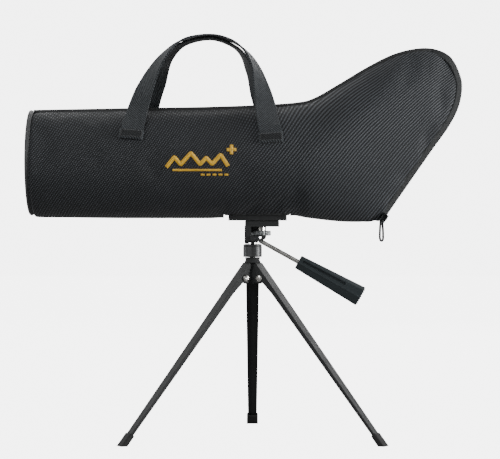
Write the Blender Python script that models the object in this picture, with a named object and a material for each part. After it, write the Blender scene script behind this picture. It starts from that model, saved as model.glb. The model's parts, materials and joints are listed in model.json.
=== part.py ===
"""A spotting scope inside its padded field case, standing on a small table tripod.

The objective looks along -X and the zipped tail of the case points along +X. The front of the
object is -Y. Sizes are in millimetres and are turned into metres where a mesh is made. Points are
given from the pan axis: its foot on the ground is (0, 0, 0), and the empty "stand" places it.
"""

import math

import bmesh
import bpy
from mathutils import Matrix, Vector

for old in list(bpy.data.objects):
    bpy.data.objects.remove(old, do_unlink=True)

MM = 0.001
GAP = 0.3

# Where the pan axis stands, so that the origin is under the middle of the whole object.
PAN_X = 5.8
PAN_Y = -31.5

# Tripod
LEG_ANGLE = math.radians(38.6)
PIVOT_R = 10.2
PIVOT_Z = 144.0
WEB_OUT = 5.6
LEG_TOP = -13.3
LEG_END = 183.0
LEG_WALL = 0.9
LEG_WIDTH_TOP = 12.0
LEG_WIDTH_END = 8.3
EAR_R = 5.0
LUG_R = 4.2
LUG_HALF = 4.5
LEG_DIRECTIONS = {"left": 210.0, "right": 330.0, "rear": 90.0}
NECK_R = 6.4
COLLAR_R = 8.5
COLLAR_Z = (162.9, 174.6)

# Head
TILT_Z = 179.4
SCREW_X = 7.7
PLATE_Z = (190.1, 195.3)
CHEEK_Y = (9.3, 11.5)
WHEEL_Z = (182.1, 186.5)
WHEEL_R = 8.75
HANDLE_POINT = Vector((11.7, 0.0, 174.8))
HANDLE_DIRECTION = Vector((math.cos(math.radians(29)), 0.0, -math.sin(math.radians(29))))
GRIP_START = 33.6
GRIP_LENGTH = 64.0

# Scope
AXIS_Z = 245.8
FOOT_X = (-21.6, 30.6)
FOOT_Z = (195.7, 200.7)
EYE_START = Vector((75.0, 0.0, 250.0))
EYE_DIRECTION = Vector((1.0, 0.0, 1.0)).normalized()
KNOB_Z = 284.4

# Case
DISC_Z = 247.6
DISC_R = 47.4
CASE_HALF = 47.8
CASE_BOTTOM = 198.8
FOAM = 3.4
SEAM = 0.2
CASE_LEFT = -196.9
END_DRAW = 1.6
BEAD = 1.0
PIPING = 1.5
ZIP_DEEP = 3.0
TOP_INSET = 2 * BEAD + 0.6
EDGE_START = Vector((117.7, 0.0, 195.3))
EDGE_DIRECTION = Vector((0.569, 0.0, 0.8223))
EDGE_OUT = Vector((0.8223, 0.0, -0.569))
TAIL_START = 46.0
STRAP_WIDTH = 20.0
STRAP_THICK = 1.8

stand = bpy.data.objects.new("stand", None)
stand.location = (PAN_X * MM, PAN_Y * MM, 0)
bpy.context.scene.collection.objects.link(stand)


# Materials

def material(name, colour, roughness, metallic=0.0):
    made = bpy.data.materials.new(name)
    made.use_nodes = True
    shader = made.node_tree.nodes["Principled BSDF"]
    shader.inputs["Base Color"].default_value = (*colour, 1.0)
    shader.inputs["Roughness"].default_value = roughness
    shader.inputs["Metallic"].default_value = metallic
    return made


BLACK_PAINT = material("black_paint", (0.018, 0.018, 0.019), 0.42, 0.2)
DARK_COLLAR = material("dark_collar", (0.05, 0.05, 0.052), 0.35, 0.6)
STEEL = material("steel", (0.62, 0.62, 0.60), 0.25, 1.0)
ALUMINIUM = material("aluminium", (0.42, 0.43, 0.43), 0.35, 1.0)
BRASS = material("brass", (0.70, 0.53, 0.25), 0.3, 1.0)
RUBBER = material("rubber", (0.02, 0.02, 0.02), 0.85)
PLASTIC = material("plastic", (0.03, 0.036, 0.04), 0.5)
BODY_PAINT = material("body_paint", (0.035, 0.05, 0.04), 0.5)
GLASS = material("glass", (0.75, 0.85, 0.85), 0.05)
NYLON = material("nylon", (0.026, 0.03, 0.034), 0.75)
WEBBING = material("webbing", (0.03, 0.034, 0.037), 0.8)
BINDING = material("binding", (0.012, 0.013, 0.014), 0.7)


# Shapes, each returned as a bmesh in millimetres

def box(low, high):
    made = bmesh.new()
    middle = (Vector(low) + Vector(high)) / 2
    size = Vector(high) - Vector(low)
    bmesh.ops.create_cube(made, size=1.0, matrix=Matrix.Translation(middle) @ Matrix.Diagonal((*size, 1.0)))
    return made


def prism(outline, side, up, start, end, at=(0, 0, 0)):
    """The outline, drawn on the side and up directions, extruded along their normal."""
    side, up = Vector(side), Vector(up)
    normal = side.cross(up)
    made = bmesh.new()
    ends = []
    for distance in (start, end):
        ends.append([made.verts.new(Vector(at) + a * side + b * up + distance * normal) for a, b in outline])
    made.faces.new(ends[0])
    made.faces.new(ends[1][::-1])
    count = len(outline)
    for i in range(count):
        j = (i + 1) % count
        made.faces.new((ends[0][i], ends[0][j], ends[1][j], ends[1][i]))
    return made


def turned(profile, at=(0, 0, 0), along=(0, 0, 1), segments=24, ring=False, turn=0.0):
    """The profile of (radius, distance) points, turned about the line through at. A ring closes on itself."""
    along = Vector(along).normalized()
    side = along.orthogonal().normalized()
    across = along.cross(side)
    made = bmesh.new()
    rows = []
    for radius, distance in profile:
        centre = Vector(at) + distance * along
        if radius == 0:
            rows.append([made.verts.new(centre)])
            continue
        row = []
        for k in range(segments):
            angle = turn + math.tau * k / segments
            row.append(made.verts.new(centre + radius * (math.cos(angle) * side + math.sin(angle) * across)))
        rows.append(row)
    pairs = list(zip(rows, rows[1:]))
    if ring:
        pairs.append((rows[-1], rows[0]))
    for one, two in pairs:
        for k in range(segments):
            j = (k + 1) % segments
            corners = [one[k % len(one)], one[j % len(one)], two[j % len(two)], two[k % len(two)]]
            corners = list(dict.fromkeys(corners))
            if len(corners) > 2:
                made.faces.new(corners)
    return made


def loft(sections):
    """A solid through sections that all have the same number of points."""
    made = bmesh.new()
    rows = [[made.verts.new(point) for point in section] for section in sections]
    for one, two in zip(rows, rows[1:]):
        for i in range(len(one)):
            j = (i + 1) % len(one)
            made.faces.new((one[i], one[j], two[j], two[i]))
    made.faces.new(rows[0][::-1])
    made.faces.new(rows[-1])
    return made


def closed_loft(sections):
    """A loop of sections, such as a piping ring."""
    made = bmesh.new()
    rows = [[made.verts.new(point) for point in section] for section in sections]
    for one, two in zip(rows, rows[1:] + rows[:1]):
        for i in range(len(one)):
            j = (i + 1) % len(one)
            made.faces.new((one[i], one[j], two[j], two[i]))
    return made


def smooth_path(points, steps):
    """Catmull-Rom points through the given ones, steps to each stretch."""
    points = [Vector(point) for point in points]
    padded = [2 * points[0] - points[1]] + points + [2 * points[-1] - points[-2]]
    path = []
    for a, b, c, d in zip(padded, padded[1:], padded[2:], padded[3:]):
        for k in range(steps):
            t = k / steps
            path.append(
                0.5 * (2 * b + (c - a) * t + (2 * a - 5 * b + 4 * c - d) * t**2 + (3 * b - a - 3 * c + d) * t**3)
            )
    path.append(points[-1])
    return path


def directions(path):
    """The direction of travel at each point of a path."""
    ahead = path[1:] + path[-1:]
    behind = path[:1] + path[:-1]
    return [(a - b).normalized() for a, b in zip(ahead, behind)]


def round_section(centre, side, up, radius, sides):
    turns = [math.tau * k / sides for k in range(sides)]
    return [centre + radius * (math.cos(turn) * side + math.sin(turn) * up) for turn in turns]


def rounded(outline, radius, steps=3):
    """The outline with each corner replaced by an arc-like curve of about that radius."""
    made = []
    count = len(outline)
    for i in range(count):
        before, corner, after = (Vector(outline[k % count]) for k in (i - 1, i, i + 1))
        reach = min(radius, (before - corner).length / 2.05, (after - corner).length / 2.05)
        start = corner + reach * (before - corner).normalized()
        end = corner + reach * (after - corner).normalized()
        for k in range(steps + 1):
            t = k / steps
            made.append(tuple((1 - t) ** 2 * start + 2 * t * (1 - t) * corner + t**2 * end))
    return made


# Objects

def solid(name, shape, look, origin=(0, 0, 0), sharp=35.0):
    """One object, with its origin at the given point."""
    bmesh.ops.recalc_face_normals(shape, faces=shape.faces)
    bmesh.ops.transform(shape, matrix=Matrix.Scale(MM, 4) @ Matrix.Translation(-Vector(origin)), verts=shape.verts)
    mesh = bpy.data.meshes.new(name)
    shape.to_mesh(mesh)
    shape.free()
    mesh.materials.append(look)
    mesh.shade_smooth()
    mesh.set_sharp_from_angle(angle=math.radians(sharp))
    made = bpy.data.objects.new(name, mesh)
    made.location = Vector(origin) * MM
    made.parent = stand
    bpy.context.scene.collection.objects.link(made)
    return made


def combine(target, shape, operation="DIFFERENCE"):
    """Cuts a shape from the target, or joins it on, with a hidden helper object."""
    helper = solid(target.name + "_helper", shape, target.data.materials[0])
    helper.hide_render = True
    helper.display_type = "WIRE"
    modifier = target.modifiers.new(operation.lower(), "BOOLEAN")
    modifier.operation = operation
    modifier.object = helper


def rod(radius, start, end, segments=16):
    """A plain cylinder from one point to another."""
    start, end = Vector(start), Vector(end)
    length = (end - start).length
    return turned([(0, 0), (radius, 0), (radius, length), (0, length)], start, end - start, segments)


# Tripod

def make_hub():
    spread = [(0, PIVOT_Z - LUG_R), (PIVOT_R, PIVOT_Z - LUG_R)]
    for k in range(1, 8):
        angle = -math.pi / 2 + k / 7 * (math.pi / 2 + LEG_ANGLE)
        spread.append((PIVOT_R + LUG_R * math.cos(angle), PIVOT_Z + LUG_R * math.sin(angle)))
    spread += [(6.7, 154.6), (0, 156.6)]
    profile = [(0, 139.0), (5.5, 139.0), (5.5, 159.3), (NECK_R, 159.3), (NECK_R, 162.6), (0, 162.6)]
    hub = solid("hub", turned(profile, segments=20), BLACK_PAINT)
    for azimuth in LEG_DIRECTIONS.values():
        outward = Vector((math.cos(math.radians(azimuth)), math.sin(math.radians(azimuth)), 0))
        combine(hub, prism(spread, outward, (0, 0, 1), -LUG_HALF, LUG_HALF), "UNION")
        tangent = outward.cross(Vector((0, 0, 1)))
        pivot = PIVOT_R * outward + Vector((0, 0, PIVOT_Z))
        combine(hub, rod(1.8, pivot - 8 * tangent, pivot + 8 * tangent, 10))
    combine(hub, rod(2.9, (0, 0, 147.0), (0, 0, 170.0)))


def make_collar():
    low, high = COLLAR_Z
    lip = high - 2.0
    profile = [(2.9, low), (COLLAR_R - 0.5, low), (COLLAR_R, low + 0.5), (COLLAR_R, lip - 0.4)]
    profile += [(COLLAR_R - 0.35, lip - 0.2), (COLLAR_R - 0.35, lip), (COLLAR_R, lip + 0.2)]
    profile += [(COLLAR_R, high - 1.1), (COLLAR_R - 1.2, high), (2.9, high)]
    solid("collar", turned(profile, segments=28, ring=True), DARK_COLLAR)


def leg_point(outward, along, out, across):
    """A point of a leg, from its pivot: along the leg, out from it, and across it."""
    tangent = outward.cross(Vector((0, 0, 1)))
    down = math.sin(LEG_ANGLE) * outward - math.cos(LEG_ANGLE) * Vector((0, 0, 1))
    away = math.cos(LEG_ANGLE) * outward + math.sin(LEG_ANGLE) * Vector((0, 0, 1))
    return PIVOT_R * outward + Vector((0, 0, PIVOT_Z)) + along * down + out * away + across * tangent


def leg_width(along):
    part = min(1.0, max(0.0, along / LEG_END))
    return LEG_WIDTH_TOP + part * (LEG_WIDTH_END - LEG_WIDTH_TOP)


def leg_depth(along):
    """How deep the channel is: ears round the pivot, then a shallow lip that tapers to the foot."""
    if abs(along) < EAR_R:
        return WEB_OUT + math.sqrt(EAR_R**2 - along**2)
    if along < 0:
        part = (along - LEG_TOP) / (-EAR_R - LEG_TOP)
        return 2.6 + part * (WEB_OUT - 2.6)
    if along < 18:
        return WEB_OUT - (along - EAR_R) / (18 - EAR_R) * (WEB_OUT - 4.2)
    return 4.2 - (along - 18) / (LEG_END - 18) * (4.2 - 2.5)


def make_leg(name, azimuth):
    outward = Vector((math.cos(math.radians(azimuth)), math.sin(math.radians(azimuth)), 0))
    pivot = leg_point(outward, 0, 0, 0)
    places = [LEG_TOP, LEG_TOP + 0.8, -9, -EAR_R, -4.6, -3.4, -1.8, 0, 1.8, 3.4, 4.6, EAR_R, 10, 18, 70, 125, LEG_END]
    sections = []
    for along in places:
        half, depth = leg_width(along) / 2, leg_depth(along)
        if along == LEG_TOP:
            half -= 0.8
        inner = half - LEG_WALL
        outline = [(half, 0), (half, -depth), (inner, -depth), (inner, -LEG_WALL)]
        outline += [(-x, out) for x, out in outline[::-1]]
        sections.append([leg_point(outward, along, WEB_OUT + out, x) for x, out in outline])
    leg = solid("leg_" + name, loft(sections), BLACK_PAINT, pivot)
    combine(leg, rod(1.8, leg_point(outward, 0, 0, -9), leg_point(outward, 0, 0, 9), 10))
    make_pivot_screw(name, outward, pivot)
    make_foot_cap(name, outward, pivot)


def make_pivot_screw(name, outward, pivot):
    tangent = outward.cross(Vector((0, 0, 1)))
    if tangent.y > 0.01:
        tangent = -tangent
    half = LEG_WIDTH_TOP / 2 + GAP
    head = [(0, -half - 1), (1.5, -half - 1), (1.5, half), (3.25, half), (3.25, half + 0.8)]
    head += [(2.7, half + 1.6), (1.6, half + 2.0), (0, half + 2.1)]
    screw = solid("leg_screw_" + name, turned(head, pivot, tangent, 14), STEEL, pivot)
    up = Vector((0, 0, 1))
    across = tangent.cross(up)
    for one, two in ((up, across), (across, up)):
        arm = [(-1.9, -0.4), (1.9, -0.4), (1.9, 0.4), (-1.9, 0.4)]
        direction = one.cross(two).dot(tangent)
        start, end = sorted((direction * (half + 1.2), direction * (half + 3)))
        combine(screw, prism(arm, one, two, start, end, pivot))
    flat = 2.75 / math.cos(math.pi / 6)
    nut = [(1.8, -half - 2.4), (flat, -half - 2.4), (flat, -half), (1.8, -half)]
    solid("leg_nut_" + name, turned(nut, pivot, tangent, 6, ring=True), STEEL, pivot, 20)


def make_foot_cap(name, outward, pivot):
    """A rubber boot round the end of the leg, cut flat on the ground."""
    start, end = 175.0, 192.0
    half = leg_width(start) / 2 + GAP
    sections = []
    for along, grow in ((start, 0.3), (start + 0.6, 0.8), (end, 0.9)):
        outline = rounded([(half + grow, grow + GAP), (half + grow, -2.7 - GAP - grow)]
                          + [(-half - grow, -2.7 - GAP - grow), (-half - grow, grow + GAP)], 1.4, 2)
        sections.append([leg_point(outward, along, WEB_OUT + out, x) for x, out in outline])
    cap = loft(sections)
    geometry = cap.verts[:] + cap.edges[:] + cap.faces[:]
    cut = bmesh.ops.bisect_plane(cap, geom=geometry, plane_co=(0, 0, 0), plane_no=(0, 0, -1), clear_outer=True)
    edges = [item for item in cut["geom_cut"] if isinstance(item, bmesh.types.BMEdge)]
    bmesh.ops.contextual_create(cap, geom=edges)
    boot = solid("foot_cap_" + name, cap, RUBBER, pivot)
    pocket = [(half, GAP), (half, -2.7 - GAP), (-half, -2.7 - GAP), (-half, GAP)]
    places = (start - 1, LEG_END + GAP)
    combine(boot, loft([[leg_point(outward, along, WEB_OUT + out, x) for x, out in pocket] for along in places]))


# Head

def make_pan_body():
    outline = [(-7.2, 176.7), (-7.2, 178.2), (-5.0, 180.4), (-1.6, 181.3), (0, 181.5), (1.2, 181.3), (5, 180.6)]
    outline += [(5, 176.7), (4.4, 174.9), (-6.6, 174.9)]
    body = solid("pan_body", prism(outline, (1, 0, 0), (0, 0, 1), -8.0, 8.0), BLACK_PAINT)
    for low, high in ((-3.3, -1.8), (1.8, 2.9), (3.6, 4.6)):
        combine(body, box((low, -12, 174.0), (high, 12, 176.0)))
    combine(body, rod(1.45, (0, -12, TILT_Z), (0, 12, TILT_Z)))
    combine(body, rod(1.8, (0, 0, 172), (0, 0, 177.0)))
    socket = HANDLE_POINT - 9.7 * HANDLE_DIRECTION
    combine(body, rod(1.5, socket, HANDLE_POINT))
    profile = [(0, 152), (2.5, 152), (2.5, COLLAR_Z[1] - 0.1), (1.5, COLLAR_Z[1]), (1.5, 176.7), (0, 176.7)]
    solid("pan_bolt", turned(profile, segments=16), STEEL)


def make_handle():
    tip, shoulder, end = -9.3, -6.2, GRIP_START + 20
    profile = [(0, tip), (1.2, tip), (1.2, shoulder), (2.0, shoulder + 0.3), (2.0, end), (0, end)]
    solid("handle_rod", turned(profile, HANDLE_POINT, HANDLE_DIRECTION, 20), STEEL, HANDLE_POINT)
    side = Vector((0, 1, 0))
    up = side.cross(HANDLE_DIRECTION) * -1
    sections = []
    outline = [(0.62, 1.0), (1.0, 0.7), (1.0, -0.16), (0.5, -1.0), (-0.5, -1.0), (-1.0, -0.16), (-1.0, 0.7), (-0.62, 1.0)]
    outline = rounded(outline, 0.12, 2)
    for distance, tall, deep in ((0, 5.9, 4.6), (0.6, 6.45, 5.2), (GRIP_LENGTH - 0.8, 9.15, 7.2), (GRIP_LENGTH, 8.7, 6.8)):
        centre = HANDLE_POINT + (GRIP_START + distance) * HANDLE_DIRECTION
        sections.append([centre + a * deep * side + b * tall * up for a, b in outline])
    grip = solid("handle_grip", loft(sections), PLASTIC, HANDLE_POINT, 50)
    groove = [(-2.1, 4), (2.1, 4), (2.1, 47), (1.5, 48.5), (0, 49), (-1.5, 48.5), (-2.1, 47)]
    start = HANDLE_POINT + GRIP_START * HANDLE_DIRECTION
    combine(grip, prism(groove, up, HANDLE_DIRECTION, 4.9, 12, start))
    combine(grip, rod(2.3, HANDLE_POINT + (GRIP_START - 2) * HANDLE_DIRECTION,
                      HANDLE_POINT + (GRIP_START + 20.4) * HANDLE_DIRECTION))


def cheek_outline(front):
    """The side of the cradle: square at the left, and rounded at the lower right about the tilt axis."""
    outline = [(-7.2, PLATE_Z[0] + 1), (-7.2, 177.0), (6.4, 177.0)]
    for k in range(2, 6):
        angle = math.radians(-60 + 15 * k)
        outline.append((4.5 + 7.9 * math.cos(angle), 183.0 + 7.9 * math.sin(angle)))
    if front:
        outline += [(12.2, 181.7), (1.2, 181.7), (-0.6, 182.4), (-1.4, 184.0), (-1.4, PLATE_Z[0] + 1)]
    else:
        outline += [(12.4, PLATE_Z[0] + 1)]
    return outline


def make_cradle():
    low, high = PLATE_Z
    plate = prism(rounded([(-6.8, -11.5), (23.8, -11.5), (23.8, 11.5), (-6.8, 11.5)], 2.0), (1, 0, 0), (0, 1, 0),
                  low, high)
    cradle = solid("tilt_cradle", plate, BLACK_PAINT, (0, 0, TILT_Z))
    inner, outer = CHEEK_Y
    combine(cradle, prism(cheek_outline(True), (1, 0, 0), (0, 0, 1), inner, outer), "UNION")
    combine(cradle, prism(cheek_outline(False), (1, 0, 0), (0, 0, 1), -outer, -inner), "UNION")
    combine(cradle, box((-7.2, -10, 184.6), (-5.2, 10, low + 1)), "UNION")
    combine(cradle, rod(3.5, (SCREW_X, 0, low - 1), (SCREW_X, 0, high + 1)))
    combine(cradle, rod(1.45, (0, -14, TILT_Z), (0, 14, TILT_Z)))
    combine(cradle, rod(1.1, (6.9, -14, 180.4), (6.9, 14, 180.4), 12))


def make_tilt_bolt():
    axis = (0, 0, TILT_Z)
    face = CHEEK_Y[1] + GAP
    bolt = [(0, -15.6), (1.15, -15.6), (1.15, face), (2.6, face), (2.6, face + 0.7), (2.2, face + 1.0), (0, face + 1.0)]
    solid("tilt_bolt", turned(bolt, axis, (0, -1, 0), 20), BLACK_PAINT, axis)
    flat = 2.3 / math.cos(math.pi / 6)
    nut = [(1.45, -face - 2.0), (flat, -face - 2.0), (flat, -face), (1.45, -face)]
    solid("tilt_nut", turned(nut, axis, (0, -1, 0), 6, ring=True), STEEL, axis, 20)


def make_camera_screw():
    at = (SCREW_X, 0, 0)
    neck, top = PLATE_Z[0] - GAP, FOOT_Z[1] - 1.2
    profile = [(0, WHEEL_Z[0] + 0.2), (3.6, WHEEL_Z[0] + 0.2), (3.6, WHEEL_Z[1] + 0.4), (4.2, WHEEL_Z[1] + 0.4)]
    profile += [(4.2, neck), (3.1, neck), (3.1, top - 0.6), (2.5, top), (0, top)]
    solid("camera_screw", turned(profile, at, segments=20), STEEL, at)
    teeth = 24
    made = bmesh.new()
    rows = []
    for z, shrink in ((WHEEL_Z[0], 0.5), (WHEEL_Z[0] + 0.5, 0.0), (WHEEL_Z[1] - 0.5, 0.0), (WHEEL_Z[1], 0.5)):
        row = []
        for k in range(2 * teeth):
            radius = WHEEL_R - shrink - (0.4 if k % 2 else 0.0)
            angle = math.tau * k / (2 * teeth)
            row.append(made.verts.new((SCREW_X + radius * math.cos(angle), radius * math.sin(angle), z)))
        rows.append(row)
    for one, two in zip(rows, rows[1:]):
        for k in range(2 * teeth):
            j = (k + 1) % (2 * teeth)
            made.faces.new((one[k], one[j], two[j], two[k]))
    made.faces.new(rows[0][::-1])
    made.faces.new(rows[-1])
    wheel = solid("thumb_wheel", made, ALUMINIUM, at, 20)
    combine(wheel, rod(3.9, (SCREW_X, 0, WHEEL_Z[0] - 1), (SCREW_X, 0, WHEEL_Z[1] + 1), 20))


def make_platform_pad():
    outline = rounded([(-6.4, -11), (23.4, -11), (23.4, 11), (-6.4, 11)], 2.0)
    pad = prism(outline, (1, 0, 0), (0, 1, 0), PLATE_Z[1] + 0.05, FOOT_Z[0] - 0.05)
    pad = solid("platform_pad", pad, RUBBER)
    combine(pad, rod(3.6, (SCREW_X, 0, 190), (SCREW_X, 0, 200)))


# Scope

def on_axis(name, profile, look, ring=True, segments=24, origin=(0, 0, 0)):
    """A piece turned about the optical axis. Distances are x."""
    return solid(name, turned(profile, (0, 0, AXIS_Z), (1, 0, 0), segments, ring), look, origin)


def on_eyepiece(name, profile, look, ring=True, segments=18):
    """A piece turned about the eyepiece axis. Distances start where it leaves the prism housing."""
    return solid(name, turned(profile, EYE_START, EYE_DIRECTION, segments, ring), look, EYE_START)


def lens(radius, front, back, front_bulge, back_bulge):
    """A lens profile, from the front vertex round the edge to the back vertex. Bulges are signed along the axis."""
    steps = 2
    profile = [(radius * k / steps, front + front_bulge * (1 - (k / steps) ** 2)) for k in range(steps + 1)]
    profile += [(radius * k / steps, back + back_bulge * (1 - (k / steps) ** 2)) for k in range(steps, -1, -1)]
    return profile


def make_objective():
    cap = [(0, -193.6), (40.6, -193.6), (42.0, -192.2), (42.0, -180), (40.8, -180), (40.8, -192), (0, -192)]
    on_axis("objective_cap", cap, RUBBER, ring=False)
    barrel = [(40.4, -191.6), (40.4, -112), (38.4, -112), (38.4, -191.6)]
    on_axis("front_barrel", barrel, BODY_PAINT)
    cell = [(38.0, -156), (38.0, -126), (31, -126), (31, -129), (35, -129), (35, -156)]
    on_axis("objective_cell", cell, ALUMINIUM)
    on_axis("crown_lens", lens(34.6, -150.0, -147.0, -3.0, 4.0), GLASS, ring=False)
    on_axis("flint_lens", lens(34.6, -146.6, -132.0, 4.0, -1.0), GLASS, ring=False)
    ring = [(38.0, -160), (38.0, -156.4), (32, -156.4), (32, -160)]
    on_axis("lens_retaining_ring", ring, ALUMINIUM)


def make_tube():
    outer = [(38.0, -122), (38.0, -111.7), (40.4, -111.7), (40.4, -106), (37.0, -104), (37.0, -72), (31.5, -28)]
    outer += [(31.5, 18.0)]
    inner = [(29.0, 18.0), (29.0, -28), (34.5, -72), (34.5, -122)]
    on_axis("main_tube", outer + inner, BODY_PAINT)


def make_mount_foot():
    outline = rounded([(FOOT_X[0], -13), (FOOT_X[1], -13), (FOOT_X[1], 13), (FOOT_X[0], 13)], 2.5)
    foot = solid("mount_foot", prism(outline, (1, 0, 0), (0, 1, 0), *FOOT_Z), BLACK_PAINT)
    combine(foot, box((-6, -8, FOOT_Z[0] + 2), (16, 8, AXIS_Z - 34)), "UNION")
    ring = [(35.6, -6), (35.6, 16), (31.9, 16), (31.9, -6)]
    combine(foot, turned(ring, (0, 0, AXIS_Z), (1, 0, 0), 24, True), "UNION")
    combine(foot, rod(3.4, (SCREW_X, 0, 190), (SCREW_X, 0, FOOT_Z[1] - 0.6)))


def make_rear_body():
    front, middle = 18.4, 62.0
    shell = prism(rounded([(-27, 214), (27, 214), (27, 276), (-27, 276)], 11), (0, 1, 0), (0, 0, 1), front, middle)
    body = solid("rear_body", shell, BODY_PAINT)
    tail = [(56, 216), (80, 216), (88, 226), (88, 251), (64, 275), (56, 275)]
    combine(body, prism(tail, (1, 0, 0), (0, 0, 1), -18, 18), "UNION")
    for low, high in ((19.0, 21.6), (58.4, 61.0)):
        combine(body, box((low, -4, 270), (high, 4, KNOB_Z + 4)), "UNION")
    inside = rounded([(-24.8, 216.4), (24.8, 216.4), (24.8, 273.6), (-24.8, 273.6)], 10)
    combine(body, prism(inside, (0, 1, 0), (0, 0, 1), front + 2.2, middle - 2.2))
    hollow = [(55, 218.2), (79, 218.2), (85.8, 226.6), (85.8, 250), (63, 272.8), (55, 272.8)]
    combine(body, prism(hollow, (1, 0, 0), (0, 0, 1), -15.8, 15.8))
    combine(body, rod(24, (front - 2, 0, AXIS_Z), (front + 4, 0, AXIS_Z), 32))
    combine(body, rod(12, EYE_START, EYE_START + 16 * EYE_DIRECTION, 28))
    combine(body, rod(2.1, (10, 0, KNOB_Z), (70, 0, KNOB_Z), 12))
    combine(body, box((23.4, -3.4, 268), (42.0, 3.4, 279)))


def make_focus():
    at = (0, 0, KNOB_Z)
    shaft = [(0, 17.6), (1.7, 17.6), (1.7, 63.4), (0, 63.4)]
    solid("focus_shaft", turned(shaft, at, (1, 0, 0), 12), STEEL, at)
    teeth = 16
    made = []
    for x, shrink in ((44.6, 0.6), (45.2, 0.0), (56.8, 0.0), (57.4, 0.6)):
        row = []
        for k in range(2 * teeth):
            radius = 7.2 - shrink - (0.5 if k % 2 else 0.0)
            angle = math.tau * k / (2 * teeth)
            row.append(Vector((x, radius * math.cos(angle), KNOB_Z + radius * math.sin(angle))))
        made.append(row)
    knob = solid("focus_knob", loft(made), RUBBER, at, 20)
    combine(knob, rod(2.1, (40, 0, KNOB_Z), (62, 0, KNOB_Z), 12))
    ring = turned([(21, 29.8), (21, 35.6), (18.4, 35.6), (18.4, 29.8)], (0, 0, AXIS_Z), (1, 0, 0), 28, True)
    carriage = solid("focus_carriage", ring, BRASS)
    combine(carriage, box((30.2, -2.6, AXIS_Z + 19.5), (35.2, 2.6, KNOB_Z + 4.6)), "UNION")
    combine(carriage, rod(2.1, (20, 0, KNOB_Z), (45, 0, KNOB_Z), 12))
    on_axis("focus_lens", lens(18.0, 30.6, 34.8, 1.6, -1.6), GLASS, ring=False, segments=16)


def make_prisms():
    cage = [(-15.4, 220), (15.4, 220), (15.4, 255), (13.6, 255), (13.6, 222), (-13.6, 222), (-13.6, 255)]
    cage += [(-15.4, 255)]
    solid("prism_cage", prism(cage, (0, 1, 0), (0, 0, 1), 43.0, 79.0), ALUMINIUM)
    entry = [(44, 230), (58, 230), (58, 256), (52, 264), (44, 264)]
    solid("prism_a", prism(entry, (1, 0, 0), (0, 0, 1), -13, 13), GLASS)
    turn = [(59, 230), (76, 230), (83, 240), (83, 248), (66, 265), (59, 258)]
    solid("prism_b", prism(turn, (1, 0, 0), (0, 0, 1), -13, 13), GLASS)


def make_eyepiece():
    on_eyepiece("eyepiece_seat", [(17.4, 10.3), (17.4, 15), (11.8, 15), (11.8, 10.3)], ALUMINIUM)
    on_eyepiece("eyepiece_barrel", [(15, 15.3), (15, 62), (13, 62), (13, 15.3)], BLACK_PAINT)
    on_eyepiece("field_lens", lens(12.6, 17.2, 19.4, -1.2, 1.2), GLASS, ring=False)
    on_eyepiece("zoom_ring", [(17.8, 19), (18.3, 19.6), (18.3, 42.4), (17.8, 43), (15.4, 43), (15.4, 19)], RUBBER)
    on_eyepiece("zoom_cell", [(12.6, 22), (12.6, 30), (10.6, 30), (10.6, 22)], BRASS)
    on_eyepiece("zoom_lens", lens(10.2, 24.6, 27.4, 1.0, -1.0), GLASS, ring=False)
    on_eyepiece("eye_lens", lens(12.6, 50.4, 55.6, -1.4, 1.4), GLASS, ring=False)
    on_eyepiece("eyecup", [(18, 44.4), (18, 62), (17, 65.4), (14.4, 65.4), (14.4, 63.2), (15.4, 62.2), (15.4, 44.4)],
                RUBBER)


# Case

RIM = [(-200, 295.2), (-100, 297.0), (-45, 297.9), (5, 299.6), (40, 302.0), (56, 306.2), (79, 319.3), (104, 334.2)]
RIM += [(128, 345.8), (151, 350.8), (168, 348.8), (180, 341.0), (187, 327.0), (188.8, 315.0), (185.8, 298.5)]
RIM += [(177.2, 281.0), (162.5, 260.0), (141.7, 230.0)]
CORNER = 11


def rim_path(steps=4):
    """The outline of the case over its top and round its tail, down to the corner of the zip."""
    points = [(x, 0, z) for x, z in RIM]
    points.append(EDGE_START - 2 * EDGE_DIRECTION)
    return smooth_path(points, steps)


def inset_rim(top_inset, zip_inset, floor, steps=4):
    """The rim moved in: its top part, and its part along the zip, which ends at the floor height."""
    path = rim_path(steps)
    ways = directions(path)
    corner = CORNER * steps
    moved = []
    for index, (point, way) in enumerate(zip(path, ways)):
        part = min(1.0, max(0.0, (index - corner + 2 * steps) / (2 * steps)))
        inset = top_inset + part * (zip_inset - top_inset)
        inward = Vector((way.z, 0, -way.x))
        moved.append(point + inset * inward)
    top, back = moved[: corner + 1], moved[corner:]
    along = (floor - EDGE_START.z - zip_inset * -EDGE_OUT.z) / EDGE_DIRECTION.z
    end = EDGE_START + along * EDGE_DIRECTION - zip_inset * EDGE_OUT
    back = [point for point in back if point.z > end.z + 4] + [end]
    return top, back[::-1]


def at_share(path, share):
    """The point at a share of the path's length."""
    lengths = [0.0]
    for a, b in zip(path, path[1:]):
        lengths.append(lengths[-1] + (b - a).length)
    wanted = share * lengths[-1]
    for index in range(1, len(path)):
        if wanted <= lengths[index] + 1e-9:
            part = (wanted - lengths[index - 1]) / (lengths[index] - lengths[index - 1])
            return path[index - 1].lerp(path[index], part)
    return path[-1]


def height_at(path, x):
    for a, b in zip(path, path[1:]):
        if a.x <= x <= b.x:
            return a.z + (x - a.x) / (b.x - a.x) * (b.z - a.z)
    return path[0].z


def tail_half(share, widest, edge):
    """Half the thickness of the tail: full where the tube ends, pinched at the zip."""
    return edge + (widest - edge) * (1 - share**1.6) ** 0.8


TUBE_STATIONS = [CASE_LEFT, -190, -120, -45, 5, 46.0]
TAIL_SHARES = [0.12, 0.25, 0.4, 0.55, 0.7, 0.82, 0.91, 0.97, 1.0]
ROUND_STEPS = 12


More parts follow.
